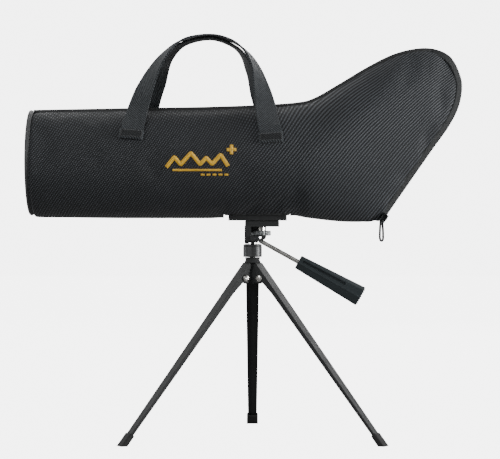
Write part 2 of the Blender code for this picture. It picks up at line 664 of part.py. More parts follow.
def case_surface(top_inset, zip_inset, floor_lift, half, edge, shares):
    """Rows of points of one side of the case, at y from 0 to half. Each row runs from the bottom to the top."""
    floor = CASE_BOTTOM + floor_lift
    tail_floor = EDGE_START.z - 0.3 + floor_lift
    top, back = inset_rim(top_inset, zip_inset, tail_floor)
    angles = [math.pi * k / ROUND_STEPS for k in range(ROUND_STEPS + 1)]
    rises = [(1 - math.cos(angle)) / 2 for angle in angles]
    rows = []
    for x in TUBE_STATIONS:
        high = height_at(top, x)
        draw = END_DRAW if x == CASE_LEFT else 0.0
        low, tall = floor + draw, high - floor - 2 * draw
        rows.append([Vector((x, (half - draw) * math.sin(a), low + v * tall)) for a, v in zip(angles, rises)])
    start_top = Vector((TAIL_START, 0, height_at(top, TAIL_START)))
    start_bottom = Vector((TAIL_START, 0, floor))
    tail_top = [start_top] + [point for point in top if point.x > TAIL_START + 1]
    low_middle = Vector((82, 0, (floor + tail_floor) / 2 - 0.9))
    tail_bottom = smooth_path([start_bottom, low_middle, back[0]], 5)
    corners = (start_bottom, tail_bottom[-1], start_top, tail_top[-1])
    for share in shares:
        upper, lower = at_share(tail_top, share), at_share(tail_bottom, share)
        row = []
        for angle, v in zip(angles, rises):
            across = lower.lerp(upper, v)
            along = start_bottom.lerp(start_top, v).lerp(at_share(back, v), share)
            flat = corners[0].lerp(corners[1], share).lerp(corners[2].lerp(corners[3], share), v)
            point = across + along - flat
            point.y = tail_half(share, half, edge) * math.sin(angle)
            row.append(point)
        rows.append(row)
    return rows


def make_case_panel(name, side):
    outer = case_surface(TOP_INSET, ZIP_DEEP + GAP, 0.0, CASE_HALF, 1.0, TAIL_SHARES)
    inner = case_surface(TOP_INSET + FOAM, ZIP_DEEP + GAP + 9.0, FOAM, CASE_HALF - FOAM, 0.4, TAIL_SHARES)
    made = bmesh.new()
    skins = []
    for rows in (outer, inner):
        skins.append([[made.verts.new((p.x, side * (SEAM + p.y), p.z)) for p in row] for row in rows])
    for skin in skins:
        for one, two in zip(skin, skin[1:]):
            for k in range(ROUND_STEPS):
                made.faces.new((one[k], one[k + 1], two[k + 1], two[k]))
    out_skin, in_skin = skins
    for line in (0, ROUND_STEPS):
        for i in range(len(out_skin) - 1):
            made.faces.new((out_skin[i][line], out_skin[i + 1][line], in_skin[i + 1][line], in_skin[i][line]))
    for row in (0, -1):
        for k in range(ROUND_STEPS):
            made.faces.new((out_skin[row][k], out_skin[row][k + 1], in_skin[row][k + 1], in_skin[row][k]))
    panel = solid(name, made, NYLON, (0, 0, 0), 60)
    combine(panel, box((-26, -16, 190), (34, 16, 216)))


def make_case_trim():
    disc_r = DISC_R - 2 * PIPING - GAP
    disc = [(0, -199.8), (disc_r - 1, -199.8), (disc_r, -199.0), (disc_r, -197.6), (disc_r - 0.5, -197.2), (0, -197.2)]
    solid("end_disc", turned(disc, (0, 0, DISC_Z), (1, 0, 0), 36), NYLON)
    middle = DISC_R - PIPING
    circle = []
    for k in range(36):
        angle = math.tau * k / 36
        circle.append(Vector((-198.7, middle * math.sin(angle), DISC_Z + middle * math.cos(angle))))
    sections = [round_section(p, Vector((1, 0, 0)), (p - Vector((-198.7, 0, DISC_Z))).normalized(), PIPING, 6)
                for p in circle]
    solid("end_piping", closed_loft(sections), BINDING)

    top, _ = inset_rim(BEAD, BEAD, EDGE_START.z)
    top = [Vector((CASE_LEFT + 0.1, 0, top[0].z))] + top[1:]
    sections = []
    for index, (point, way) in enumerate(zip(top, directions(top))):
        if index % 2 and point.x < TAIL_START:
            continue
        sections.append(round_section(point, Vector((0, 1, 0)), way.cross(Vector((0, 1, 0))), BEAD, 6))
    solid("top_piping", loft(sections), BINDING)

    frame = box((-25.7, -15.7, 200.2), (33.7, 15.7, 204.8))
    opening = solid("opening_binding", frame, BINDING)
    combine(opening, box((FOOT_X[0] - 0.5, -13.5, 195), (FOOT_X[1] + 0.5, 13.5, 210)))


def make_zip():
    path = rim_path()[CORNER * 4 + 1 : -1]
    ways = directions(path)
    path = [point for point in path if point.z > EDGE_START.z + 4]
    ways = ways[: len(path)]
    path.append(EDGE_START + 1.0 * EDGE_DIRECTION)
    ways.append(-EDGE_DIRECTION)
    sections = []
    for point, way in zip(path, ways):
        inward = Vector((way.z, 0, -way.x))
        corners = ((GAP, 1.7), (GAP, -1.7), (1.2, -2.4), (ZIP_DEEP, -2.4), (ZIP_DEEP, 2.4), (1.2, 2.4))
        sections.append([point + inset * inward + Vector((0, y, 0)) for inset, y in corners])
    solid("zipper_chain", loft(sections), BINDING)

    jaw = [(1.3, -4.2), (1.3, 4.2), (-3.6, 4.2), (-3.6, 3.1), (0.1, 3.1), (0.1, -3.1), (-3.6, -3.1), (-3.6, -4.2)]
    eye = EDGE_START - 0.8 * EDGE_DIRECTION - 2.0 * EDGE_OUT
    slider = solid("zipper_slider", prism(jaw, EDGE_OUT, (0, 1, 0), -1.6, 6.4, EDGE_START), STEEL, EDGE_START)
    pin = turned([(0, 4.0), (0.7, 4.0), (0.7, 6.0), (1.4, 6.0), (1.4, 6.6), (0, 6.6)], eye, (0, -1, 0), 12)
    combine(slider, pin, "UNION")
    outline = []
    for k in range(9):
        angle = math.radians(-20 + 220 * k / 8)
        outline.append((1.9 * math.cos(angle), 1.9 * math.sin(angle)))
    outline += [(-1.0, -3), (-1.7, -9), (-1.9, -16.5), (-1.4, -18.2), (0, -18.9)]
    outline += [(1.4, -18.2), (1.9, -16.5), (1.7, -9), (1.0, -3)]
    pull = solid("zipper_pull", prism(outline, (1, 0, 0), (0, 0, 1), 4.7, 5.6, eye), STEEL, eye)
    slot = [(0.3, -5), (0.9, -10), (1.1, -15.5), (0.7, -17.2), (-0.7, -17.2), (-1.1, -15.5), (-0.9, -10), (-0.3, -5)]
    combine(pull, prism(slot, (1, 0, 0), (0, 0, 1), 4, 6.5, eye))
    combine(pull, rod(1.0, eye + Vector((0, -8, 0)), eye, 12))


STRAP_LOW = [(-107.0, 267.5), (-106.0, 275.0), (-104.5, 281.5)]
STRAP_RISE = [(-98.0, 18.5, 300.0), (-92.6, 15.5, 317.0), (-85.5, 13.0, 332.0), (-75.5, 11.5, 346.0)]
STRAP_TOP = [(-60.0, 5.0, 357.6), (-40.0, 0.0, 362.2), (-21.5, 5.0, 357.0)]
STRAP_FALL = [(-8.5, 11.5, 346.0), (0.2, 13.0, 332.0), (6.0, 15.5, 318.0), (10.4, 20.5, 302.5)]
STRAP_END = [(13.8, 281.5), (15.4, 275.0), (16.4, 264.5)]


def tube_point(x, z, lift):
    """A point at a height on the tube of the case, lifted off its skin."""
    top, _ = inset_rim(TOP_INSET, ZIP_DEEP + GAP, EDGE_START.z)
    high = height_at(top, x)
    rise = (high - CASE_BOTTOM) / 2
    level = (z - CASE_BOTTOM - rise) / rise
    y = CASE_HALF * math.sqrt(1 - level**2)
    normal = Vector((0, y / CASE_HALF**2, level / rise)).normalized()
    return Vector((x, SEAM + y, z)) + lift * normal


def make_strap(name, side, drop, lean):
    """A webbing handle that is sewn on flat, and turns flat again at the top of its arch."""
    lift = STRAP_THICK / 2 + 0.6
    points = [tube_point(x, z, lift) for x, z in STRAP_LOW]
    points += [Vector(point) for point in STRAP_RISE + STRAP_TOP + STRAP_FALL]
    points += [tube_point(x, z, lift) for x, z in STRAP_END]
    path = smooth_path(points, 2)
    sections = []
    for index, (point, way) in enumerate(zip(path, directions(path))):
        share = index / (len(path) - 1)
        turn = math.pi / 2 * (smooth_share(share, 0.21, 0.40) + smooth_share(share, 0.62, 0.85))
        wide = Vector((math.cos(turn), math.sin(turn), 0))
        wide = (wide - wide.dot(way) * way).normalized()
        out = way.cross(wide)
        centre = point - drop * smooth_share(share, 0.22, 0.34) * smooth_share(share, 0.78, 0.66) * out
        centre.x += lean * smooth_share(share, 0.06, 0.16) * smooth_share(share, 0.42, 0.3)
        corners = []
        for a, b in ((-1, -1), (1, -1), (1, 1), (-1, 1)):
            corner = centre + a * STRAP_WIDTH / 2 * wide + b * STRAP_THICK / 2 * out
            corners.append(Vector((corner.x, side * corner.y, corner.z)))
        sections.append(corners)
    solid(name, loft(sections), WEBBING)


def smooth_share(value, start, end):
    part = min(1.0, max(0.0, (value - start) / (end - start)))
    return part * part * (3 - 2 * part)


make_hub()
make_collar()
for leg_name, leg_azimuth in LEG_DIRECTIONS.items():
    make_leg(leg_name, leg_azimuth)
make_pan_body()
make_handle()
make_cradle()
make_tilt_bolt()
make_platform_pad()
make_camera_screw()
make_objective()
make_tube()
make_mount_foot()
make_rear_body()
make_focus()
make_prisms()
make_eyepiece()
make_case_panel("case_panel_near", -1)
make_case_panel("case_panel_far", 1)
make_case_trim()
make_zip()
make_strap("strap_near", -1, 0.0, 0.0)
make_strap("strap_far", 1, STRAP_THICK + 0.8, 3.0)
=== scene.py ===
"""The looks of a spotting scope in its padded case, standing on a small table tripod.

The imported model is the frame, and each soft part of the case is built here round it. Points are in
millimetres from the pan axis, whose foot on the ground is (0, 0, 0). The object's near side, which the camera
sees, is at -Y, and its objective is at -X.
"""

import json
import math

import bmesh
import bpy
import numpy as np
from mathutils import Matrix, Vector
from mathutils.bvhtree import BVHTree


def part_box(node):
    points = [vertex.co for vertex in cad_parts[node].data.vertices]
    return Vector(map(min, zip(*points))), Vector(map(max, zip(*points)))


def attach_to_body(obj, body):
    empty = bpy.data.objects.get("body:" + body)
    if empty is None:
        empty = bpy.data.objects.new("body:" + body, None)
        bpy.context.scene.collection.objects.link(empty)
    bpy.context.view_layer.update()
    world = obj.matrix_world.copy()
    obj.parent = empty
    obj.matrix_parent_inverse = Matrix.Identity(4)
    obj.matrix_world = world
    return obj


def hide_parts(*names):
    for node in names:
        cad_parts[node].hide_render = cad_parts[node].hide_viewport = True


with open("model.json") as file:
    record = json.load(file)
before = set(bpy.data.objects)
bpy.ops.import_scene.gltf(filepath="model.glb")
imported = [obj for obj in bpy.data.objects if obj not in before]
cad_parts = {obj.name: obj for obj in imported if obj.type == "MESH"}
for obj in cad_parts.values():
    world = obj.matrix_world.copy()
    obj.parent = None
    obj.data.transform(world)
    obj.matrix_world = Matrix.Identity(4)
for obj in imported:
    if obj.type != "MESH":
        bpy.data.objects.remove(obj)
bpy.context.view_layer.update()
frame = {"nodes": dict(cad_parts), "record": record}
cad_nodes = frame["nodes"]

MM = 0.001
collar_low, collar_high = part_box("collar")
PAN = Vector(((collar_low.x + collar_high.x) / 2, (collar_low.y + collar_high.y) / 2, 0))
SIDE = np.array((0, 1.0, 0))


def place(point):
    return PAN + Vector(point) * MM


def add_object(name, data):
    thing = bpy.data.objects.new(name, data)
    bpy.context.scene.collection.objects.link(thing)
    return thing


def feed(socket, value):
    """Sets a node's socket to a value, or links it where the value is a socket."""
    if isinstance(value, bpy.types.NodeSocket):
        socket.id_data.links.new(value, socket)
    else:
        socket.default_value = value


# Camera and light

CAMERA_AT = (-2.3, -1737.0, 187.6)
LENS_MM = 139.0
SENSOR_MM = 36.0
STUDIO_WHITE = 5.4  # what the camera sees behind and under the object
STUDIO_FRONT = 0.14  # what lights it from the front, the sides and the back
STUDIO_SIDES = 0.55
STUDIO_BACK = 1.1
FLOOR_REACH = 6.0
FLOOR_GREY = 0.22
# Each soft light's name, place and aim in metres, width and height, and watts
LIGHTS = [
    ("key_right", (1.7, -0.5, 0.24), (0.12, -0.03, 0.26), (0.7, 0.7), 34.0),
    ("top_front", (-0.1, -1.3, 1.2), (0.0, -0.03, 0.25), (1.4, 0.6), 6.0),
    ("fill_left", (-1.2, -1.5, 0.8), (-0.1, -0.03, 0.22), (0.6, 1.0), 11.0),
    ("back_soft", (0.5, 1.9, 0.9), (0.0, 0.0, 0.22), (1.4, 0.8), 16.0),
    ("rim_left", (-1.7, 0.25, 0.45), (-0.2, -0.02, 0.24), (0.4, 0.8), 7.0),
]


def make_camera():
    camera = add_object("camera", bpy.data.cameras.new("camera"))
    camera.location = place(CAMERA_AT)
    camera.rotation_euler = (math.pi / 2, 0, 0)
    camera.data.lens = LENS_MM
    camera.data.sensor_width = SENSOR_MM
    bpy.context.scene.camera = camera


def make_area_light(name, at, aim, size, power):
    light = add_object(name, bpy.data.lights.new(name, "AREA"))
    light.data.shape = "RECTANGLE"
    light.data.size, light.data.size_y = size
    light.data.energy = power
    light.location = at
    light.rotation_euler = (Vector(aim) - Vector(at)).to_track_quat("-Z", "Y").to_euler()


def camera_only(tree, shown, lit):
    """A strength that the camera sees as one number and the light as another, which may be a socket."""
    path = tree.nodes.new("ShaderNodeLightPath")
    choose = tree.nodes.new("ShaderNodeMapRange")
    feed(choose.inputs["To Min"], lit)
    feed(choose.inputs["To Max"], shown)
    tree.links.new(path.outputs["Is Camera Ray"], choose.inputs["Value"])
    return choose.outputs["Result"]


def room_light(tree):
    """White walls behind and at the sides, and a dark room in front: strength by direction."""
    parts = tree.nodes.new("ShaderNodeSeparateXYZ")
    tree.links.new(tree.nodes.new("ShaderNodeTexCoord").outputs["Generated"], parts.inputs[0])
    strengths = []
    ramps = ((-0.75, 0.0, STUDIO_FRONT, STUDIO_SIDES), (0.0, 1.0, 0.0, STUDIO_BACK - STUDIO_SIDES))
    for ramp in ramps:
        node = tree.nodes.new("ShaderNodeMapRange")
        node.interpolation_type = "SMOOTHSTEP"
        for socket, number in zip(list(node.inputs)[1:5], ramp):
            socket.default_value = number
        tree.links.new(parts.outputs[1], node.inputs["Value"])
        strengths.append(node.outputs["Result"])
    total = tree.nodes.new("ShaderNodeMath")
    for socket, strength in zip(total.inputs, strengths):
        tree.links.new(strength, socket)
    return total.outputs[0]


def make_studio():
    world = bpy.data.worlds.new("studio")
    world.use_nodes = True
    tree = world.node_tree
    background = tree.nodes["Background"]
    feed(background.inputs["Strength"], camera_only(tree, STUDIO_WHITE, room_light(tree)))
    feed(background.inputs["Color"], (1.0, 1.0, 1.0, 1.0))
    bpy.context.scene.world = world

    floor = add_object("floor", bpy.data.meshes.new("floor"))
    corners = [(x * FLOOR_REACH, y * FLOOR_REACH, 0) for x, y in ((-1, -1), (1, -1), (1, 1), (-1, 1))]
    floor.data.from_pydata(corners, [], [(0, 1, 2, 3)])
    white = Look("floor_white", (FLOOR_GREY, FLOOR_GREY, FLOOR_GREY), 0.9, Emission_Color=(1.0, 1.0, 1.0, 1.0))
    white.set("Emission Strength", camera_only(white.tree, STUDIO_WHITE, 0.0))
    floor.data.materials.append(white.material)

    for light in LIGHTS:
        make_area_light(*light)


# Materials

class Look:
    """A material, with short ways to add nodes to it. A value is a number or a socket."""

    def __init__(self, name, colour, roughness, **sockets):
        self.material = bpy.data.materials.new(name)
        self.material.use_nodes = True
        self.tree = self.material.node_tree
        self.shader = self.tree.nodes["Principled BSDF"]
        self.set("Base Color", (*colour, 1.0))
        self.set("Roughness", roughness)
        for socket, value in sockets.items():
            self.set(socket.replace("_", " "), value)

    def set(self, socket, value):
        feed(self.shader.inputs[socket], value)

    def math(self, operation, *values):
        node = self.tree.nodes.new("ShaderNodeMath")
        node.operation = operation
        for socket, value in zip(node.inputs, values):
            feed(socket, value)
        return node.outputs[0]

    def remap(self, value, from_min, from_max, to_min, to_max):
        node = self.tree.nodes.new("ShaderNodeMapRange")
        for socket, number in zip(node.inputs, (value, from_min, from_max, to_min, to_max)):
            feed(socket, number)
        return node.outputs["Result"]

    def place(self):
        return self.tree.nodes.new("ShaderNodeTexCoord").outputs["Object"]

    def noise(self, scale, detail=2.0):
        node = self.tree.nodes.new("ShaderNodeTexNoise")
        node.inputs["Scale"].default_value = scale
        node.inputs["Detail"].default_value = detail
        self.tree.links.new(self.place(), node.inputs["Vector"])
        return node.outputs["Fac"]

    def attribute(self, name):
        """The three numbers of a point attribute."""
        node = self.tree.nodes.new("ShaderNodeAttribute")
        node.attribute_name = name
        parts = self.tree.nodes.new("ShaderNodeSeparateXYZ")
        self.tree.links.new(node.outputs["Vector"], parts.inputs[0])
        return parts.outputs

    def mix(self, share, one, two):
        node = self.tree.nodes.new("ShaderNodeMix")
        node.data_type = "RGBA"
        feed(node.inputs[0], share)
        for socket, colour in ((node.inputs[6], one), (node.inputs[7], two)):
            feed(socket, colour if isinstance(colour, bpy.types.NodeSocket) else (*colour, 1.0))
        return node.outputs[2]

    def bevel(self, radius):
        node = self.tree.nodes.new("ShaderNodeBevel")
        node.samples = 4
        node.inputs["Radius"].default_value = radius * MM
        return node.outputs["Normal"]

    def bump(self, height, distance, normal=None, strength=1.0):
        node = self.tree.nodes.new("ShaderNodeBump")
        node.inputs["Strength"].default_value = strength
        node.inputs["Distance"].default_value = distance * MM
        self.tree.links.new(height, node.inputs["Height"])
        if normal is not None:
            self.tree.links.new(normal, node.inputs["Normal"])
        self.tree.links.new(node.outputs["Normal"], self.shader.inputs["Normal"])


def wave(look, value, pitch):
    """A smooth wave from 0 to 1 with that pitch."""
    turn = look.math("MULTIPLY", value, math.tau / pitch)
    return look.math("MULTIPLY_ADD", look.math("SINE", turn), 0.5, 0.5)


# The weave of the case: its ribs, the floats along them, and the slant of the ribs
RIB_PITCH = 2.5
DOT_PITCH = 2.2
RIB_SLANT = math.radians(51)
TWILL_PITCH = 2.4
PICK_PITCH = 0.95


def ribbed_nylon(name, dark, light):
    """Ballistic nylon: slanted ribs of separate yarn floats, its colour darkened down into the grooves between
    ribs and floats as painted shade. The attribute holds mm across, mm along, and how far the floats are
    parted."""
    look = Look(name, dark, 0.6, Sheen_Weight=0.06, Sheen_Roughness=0.5, Specular_IOR_Level=0.4)
    across, along, parted = look.attribute("weave")
    across = look.math("MULTIPLY_ADD", look.noise(55.0), 1.1, across)
    rib = wave(look, across, RIB_PITCH)
    row = look.math("FLOOR", look.math("DIVIDE", across, RIB_PITCH))
    dot = wave(look, look.math("MULTIPLY_ADD", row, DOT_PITCH / 2, along), DOT_PITCH)
    floats = look.math("SUBTRACT", 1.0, look.math("MULTIPLY", parted, look.math("SUBTRACT", 1.0, dot)))
    height = look.math("MULTIPLY", rib, floats)
    patch = look.remap(look.noise(26.0, 3.0), 0.3, 0.7, 0.85, 1.15)
    # Painted shade: the colour follows the height of ribs and floats and is dark down in the grooves, with
    # random patches of tone
    painted_groove_shade = look.math("MULTIPLY", look.math("POWER", height, 1.5), patch)
    look.set("Base Color", look.mix(painted_groove_shade, dark, light))
    look.set("Roughness", look.remap(height, 0.0, 1.0, 0.8, 0.5))
    look.bump(look.math("MULTIPLY_ADD", look.noise(1900.0, 1.0), 0.25, height), 0.4)
    return look.material


def webbing_look(name, dark, light):
    """Woven strap, its colour darker down in the twill's grooves as painted shade. The attribute holds mm
    across, mm along, and how much painted light the webbing gets: painted shade over each sewn fold, and a
    painted highlight along its rounded edges.
    """
    look = Look(name, dark, 0.65, Sheen_Weight=0.1, Sheen_Roughness=0.4, Specular_IOR_Level=0.4)
    across, along, fold_painted_light = look.attribute("weave")
    slant = look.math("MULTIPLY_ADD", look.noise(240.0), 0.9, look.math("ADD", across, along))
    twill = look.math("POWER", wave(look, slant, TWILL_PITCH), 2.2)
    pick = wave(look, along, PICK_PITCH)
    yarn = look.remap(look.noise(620.0), 0.35, 0.65, 0.0, 1.0)
    fine = look.math("MULTIPLY_ADD", pick, 0.12, look.math("MULTIPLY", yarn, 0.25))
    height = look.math("MULTIPLY_ADD", twill, 0.75, fine)
    # Painted shade down in the twill's grooves, as the colour follows its height; the third number darkens each
    # sewn fold with painted shade and lightens its rounded edges with a painted highlight
    look.set("Base Color", look.mix(look.math("MULTIPLY", height, look.math("ADD", 1.0, fold_painted_light)), dark, light))
    look.set("Roughness", look.remap(height, 0.0, 1.0, 0.85, 0.55))
    look.bump(height, 0.35)
    return look.material


def tape_look(name, dark, light, pitch=0.9):
    """Bound tape: fine cross ribs along its length, which the attribute's second number gives."""
    look = Look(name, dark, 0.6, Sheen_Weight=0.1, Specular_IOR_Level=0.4)
    _, along, _ = look.attribute("weave")
    height = look.math("MULTIPLY_ADD", look.noise(700.0), 0.5, wave(look, along, pitch))
    # Painted shade: the colour follows the cross ribs' height and is darker between them, with random tone from
    # the noise
    look.set("Base Color", look.mix(look.remap(height, 0.2, 1.3, 0.0, 1.0), dark, light))
    look.bump(height, 0.12)
    return look.material


def painted_metal(name, dark, light, roughness, edge=0.35, **sockets):
    """Sprayed paint with a fine orange peel, slightly cloudy, and rounded edges."""
    look = Look(name, dark, roughness, **sockets)
    cloud = look.noise(38.0, 4.0)
    look.set("Base Color", look.mix(look.remap(cloud, 0.35, 0.7, 0.0, 1.0), dark, light))
    look.set("Roughness", look.remap(look.noise(90.0, 4.0), 0.3, 0.7, roughness - 0.06, roughness + 0.08))
    look.bump(look.noise(1300.0), 0.05, look.bevel(edge), 0.6)
    return look.material


def bare_metal(name, dull, bright, roughness):
    """Machined or plated metal with fine marks, and a little stained."""
    look = Look(name, bright, roughness, Metallic=1.0)
    marks = look.noise(900.0, 3.0)
    stain = look.noise(140.0, 3.0)
    look.set("Base Color", look.mix(look.remap(stain, 0.3, 0.7, 0.0, 1.0), dull, bright))
    look.set("Roughness", look.remap(marks, 0.3, 0.7, roughness - 0.06, roughness + 0.1))
    look.bump(marks, 0.02, look.bevel(0.25), 0.5)
    return look.material


def moulded(name, dark, light, roughness, edge=0.35):
    """Moulded plastic or rubber with a fine grain."""
    look = Look(name, dark, roughness, Specular_IOR_Level=0.45)
    fine = look.noise(900.0, 3.0)
    look.set("Base Color", look.mix(look.remap(look.noise(60.0, 4.0), 0.3, 0.7, 0.0, 1.0), dark, light))
    look.set("Roughness", look.remap(fine, 0.3, 0.7, roughness - 0.08, roughness + 0.1))
    look.bump(fine, 0.06, look.bevel(edge), 0.7)
    return look.material


def coated_glass(name):
    """Lens glass with a coating that tints it from green to violet."""
    look = Look(name, (0.80, 0.88, 0.86), 0.04, Transmission_Weight=0.9, IOR=1.52)
    look.set("Roughness", look.remap(look.noise(60.0), 0.3, 0.7, 0.02, 0.07))
    look.set("Base Color", look.mix(look.noise(20.0), (0.78, 0.88, 0.86), (0.84, 0.84, 0.92)))
    return look.material


def gold_thread(name, slant):
    """Satin stitch: glossy threads side by side, along a direction, each painted lighter along its crest as a
    painted highlight.
    """
    look = Look(name, (0.62, 0.38, 0.06), 0.35, Sheen_Weight=0.2)
    node = look.tree.nodes.new("ShaderNodeVectorMath")
    node.operation = "DOT_PRODUCT"
    look.tree.links.new(look.place(), node.inputs[0])
    node.inputs[1].default_value = Vector((-math.sin(slant), 0, math.cos(slant))) / MM
    thread = wave(look, look.math("MULTIPLY_ADD", look.noise(400.0), 0.25, node.outputs["Value"]), 0.45)
    # Painted highlight along each thread's crest, with random tone from the noise
    painted_thread_shine = look.math("MULTIPLY_ADD", thread, 0.7, look.math("MULTIPLY", look.noise(500.0), 0.3))
    look.set("Base Color", look.mix(painted_thread_shine, (0.50, 0.24, 0.0), (1.0, 0.60, 0.02)))
    look.bump(thread, 0.12)
    return look.material


LOOKS = {
    "black_paint": painted_metal("black_paint", (0.033, 0.0342, 0.035), (0.040, 0.0412, 0.0422), 0.4,
                                 Specular_IOR_Level=0.1),
    "collar_paint": painted_metal("collar_paint", (0.060, 0.062, 0.063), (0.072, 0.073, 0.075), 0.42, 0.3,
                                  Metallic=0.7),
    "steel": bare_metal("steel", (0.42, 0.42, 0.41), (0.6, 0.6, 0.58), 0.26),
    "bright_steel": bare_metal("bright_steel", (0.62, 0.61, 0.58), (0.82, 0.81, 0.78), 0.16),
    "aluminium": bare_metal("aluminium", (0.15, 0.158, 0.16), (0.22, 0.23, 0.23), 0.46),
    "brass": bare_metal("brass", (0.5, 0.36, 0.14), (0.72, 0.54, 0.24), 0.28),
    "rubber": moulded("rubber", (0.008, 0.008, 0.0085), (0.013, 0.013, 0.0135), 0.72),
    "grip_plastic": moulded("grip_plastic", (0.022, 0.029, 0.032), (0.028, 0.036, 0.040), 0.36, edge=0.3),
    "body_plastic": moulded("body_plastic", (0.02, 0.032, 0.024), (0.028, 0.042, 0.032), 0.5),
    "lens_glass": coated_glass("lens_glass"),
    "case_nylon": ribbed_nylon("case_nylon", (0.0022, 0.0028, 0.0034), (0.072, 0.080, 0.092)),
    "webbing": webbing_look("webbing", (0.0020, 0.0026, 0.0032), (0.060, 0.069, 0.077)),
    "binding": tape_look("binding", (0.008, 0.0088, 0.0092), (0.034, 0.037, 0.038)),
    "zip_plastic": tape_look("zip_plastic", (0.0032, 0.0042, 0.0046), (0.0125, 0.0155, 0.0165)),
}
# A lighter copy of the binding for the piping and seam tape round the end disc: a painted highlight where the
# rounded end catches the light
LIT_END_BINDING = tape_look("lit_end_binding", (0.02, 0.021, 0.022), (0.085, 0.088, 0.090))
THREAD = tape_look("thread", (0.03, 0.031, 0.032), (0.10, 0.102, 0.104), 0.3)
DARK_WIRE = bare_metal("dark_wire", (0.025, 0.027, 0.028), (0.06, 0.062, 0.063), 0.3)
GOLD = gold_thread("gold_thread", math.radians(62))


def dress_cad_nodes():
    """Gives each CAD node its material, by the slot that the record names."""
    for part in frame["record"]["subparts"]:
        for slot in cad_nodes[part["node"]].material_slots:
            slot.material = DARK_WIRE if part["node"] == "zipper_slider" else LOOKS[part["material_slot"]]


# Shapes

def smooth_path(points, steps):
    """Catmull-Rom points through the given ones, steps to each stretch, as rows of an array."""
    points = np.array(points, float)
    padded = np.vstack([2 * points[0] - points[1], points, 2 * points[-1] - points[-2]])
    path = []
    for a, b, c, d in zip(padded, padded[1:], padded[2:], padded[3:]):
        for k in range(steps):
            t = k / steps
            path.append(0.5 * (2 * b + (c - a) * t + (2 * a - 5 * b + 4 * c - d) * t**2
                               + (3 * b - a - 3 * c + d) * t**3))
    path.append(points[-1])
    return np.array(path)


def directions(path, closed=False):
    if closed:
        way = np.roll(path, -1, 0) - np.roll(path, 1, 0)
    else:
        way = np.gradient(path, axis=0)
    return way / np.linalg.norm(way, axis=1, keepdims=True)


def inwards(way):
    """The directions across the case's outline and into the case, for directions along it."""
    return np.stack([way[:, 2], 0 * way[:, 0], -way[:, 0]], axis=1)


def lengths_of(path):
    return np.concatenate([[0.0], np.cumsum(np.linalg.norm(np.diff(path, axis=0), axis=1))])


def at_share(path, shares):
    """The points at shares of the path's length."""
    lengths = lengths_of(path)
    wanted = np.clip(shares, 0, 1) * lengths[-1]
    return np.stack([np.interp(wanted, lengths, path[:, k]) for k in range(3)], axis=-1)


def ease(value, start, end):
    """0 up to start, 1 from end, and smooth between them."""
    part = np.clip((np.asarray(value, float) - start) / (end - start), 0, 1)
    return part * part * (3 - 2 * part)


def grid_faces(rows, columns, closed_rows=False, closed_columns=False):
    faces = []
    for i in range(rows if closed_rows else rows - 1):
        for k in range(columns if closed_columns else columns - 1):
            j, m = (i + 1) % rows, (k + 1) % columns
            faces.append((i * columns + k, i * columns + m, j * columns + m, j * columns + k))
    return faces


def close_back(points, faces, rows, columns, offset):
    """Closes a grid of points with a wall round it and a back that far behind it. Returns the rim's points."""
    rim = list(range(columns)) + [i * columns + columns - 1 for i in range(1, rows)]
    rim += [(rows - 1) * columns + k for k in range(columns - 2, -1, -1)]
    rim += [i * columns for i in range(rows - 2, 0, -1)]
    first = len(points)
    points += [points[k] + offset for k in rim]
    for k in range(len(rim)):
        j = (k + 1) % len(rim)
        faces.append((rim[k], rim[j], first + j, first + k))
    faces.append(tuple(range(first, first + len(rim))))
    return rim


def set_weave(mesh, weave):
    """The three numbers for each point that the fabric looks read."""
    attribute = mesh.attributes.new("weave", "FLOAT_VECTOR", "POINT")
    attribute.data.foreach_set("vector", np.array(weave, np.float32).ravel())


def make_piece(name, points, faces, look, weave=None, smooth=True):
    """A mesh object from points in millimetres, with its normals outwards."""
    mesh = bpy.data.meshes.new(name)
    points = np.array(points, float).reshape(-1, 3)
    mesh.from_pydata([tuple(place(point)) for point in points], [], faces)
    shape = bmesh.new()
    shape.from_mesh(mesh)
    bmesh.ops.recalc_face_normals(shape, faces=shape.faces)
    shape.to_mesh(mesh)
    shape.free()
    mesh.materials.append(look)
    if smooth:
        mesh.shade_smooth()
    if weave is not None:
        set_weave(mesh, weave)
    return add_object(name, mesh)


def swept(name, path, frames, profile, look, closed=False):
    """A profile, in mm along the two directions of each frame, swept along a path, with its ends filled."""
    count = len(profile)
    points, weave = [], []
    lengths = lengths_of(path)
    for centre, (side, up), length in zip(path, frames, lengths):
        for a, b in profile:
            points.append(centre + a * side + b * up)
            weave.append((a, length, 0))
    faces = grid_faces(len(path), count, closed, True)
    if not closed:
        faces.append(tuple(range(count))[::-1])
        faces.append(tuple(range(len(points) - count, len(points))))
    return make_piece(name, points, faces, look, weave)


def round_profile(radius, sides, squash=1.0):
    angles = [math.tau * k / sides for k in range(sides)]
    return [(radius * math.cos(angle), squash * radius * math.sin(angle)) for angle in angles]


def baked(piece):
    """Applies the piece's modifiers."""
    graph = bpy.context.evaluated_depsgraph_get()
    mesh = bpy.data.meshes.new_from_object(piece.evaluated_get(graph), preserve_all_data_layers=True,
                                           depsgraph=graph)
    old = piece.data
    piece.modifiers.clear()
    piece.data = mesh
    mesh.name = piece.name
    bpy.data.meshes.remove(old)


def subdivide(piece):
    """Smooths the piece with one applied subdivision."""
    modifier = piece.modifiers.new("subdivision", "SUBSURF")
    modifier.levels = modifier.render_levels = 1
    baked(piece)
    return piece


def positions(piece):
    """The piece's points in millimetres from the pan axis."""
    points = np.empty(len(piece.data.vertices) * 3)
    piece.data.vertices.foreach_get("co", points)
    return (points.reshape(-1, 3) - np.array(PAN)) / MM


def move_points(piece, points):
    piece.data.vertices.foreach_set("co", (points * MM + np.array(PAN)).astype(np.float32).ravel())
    piece.data.update()


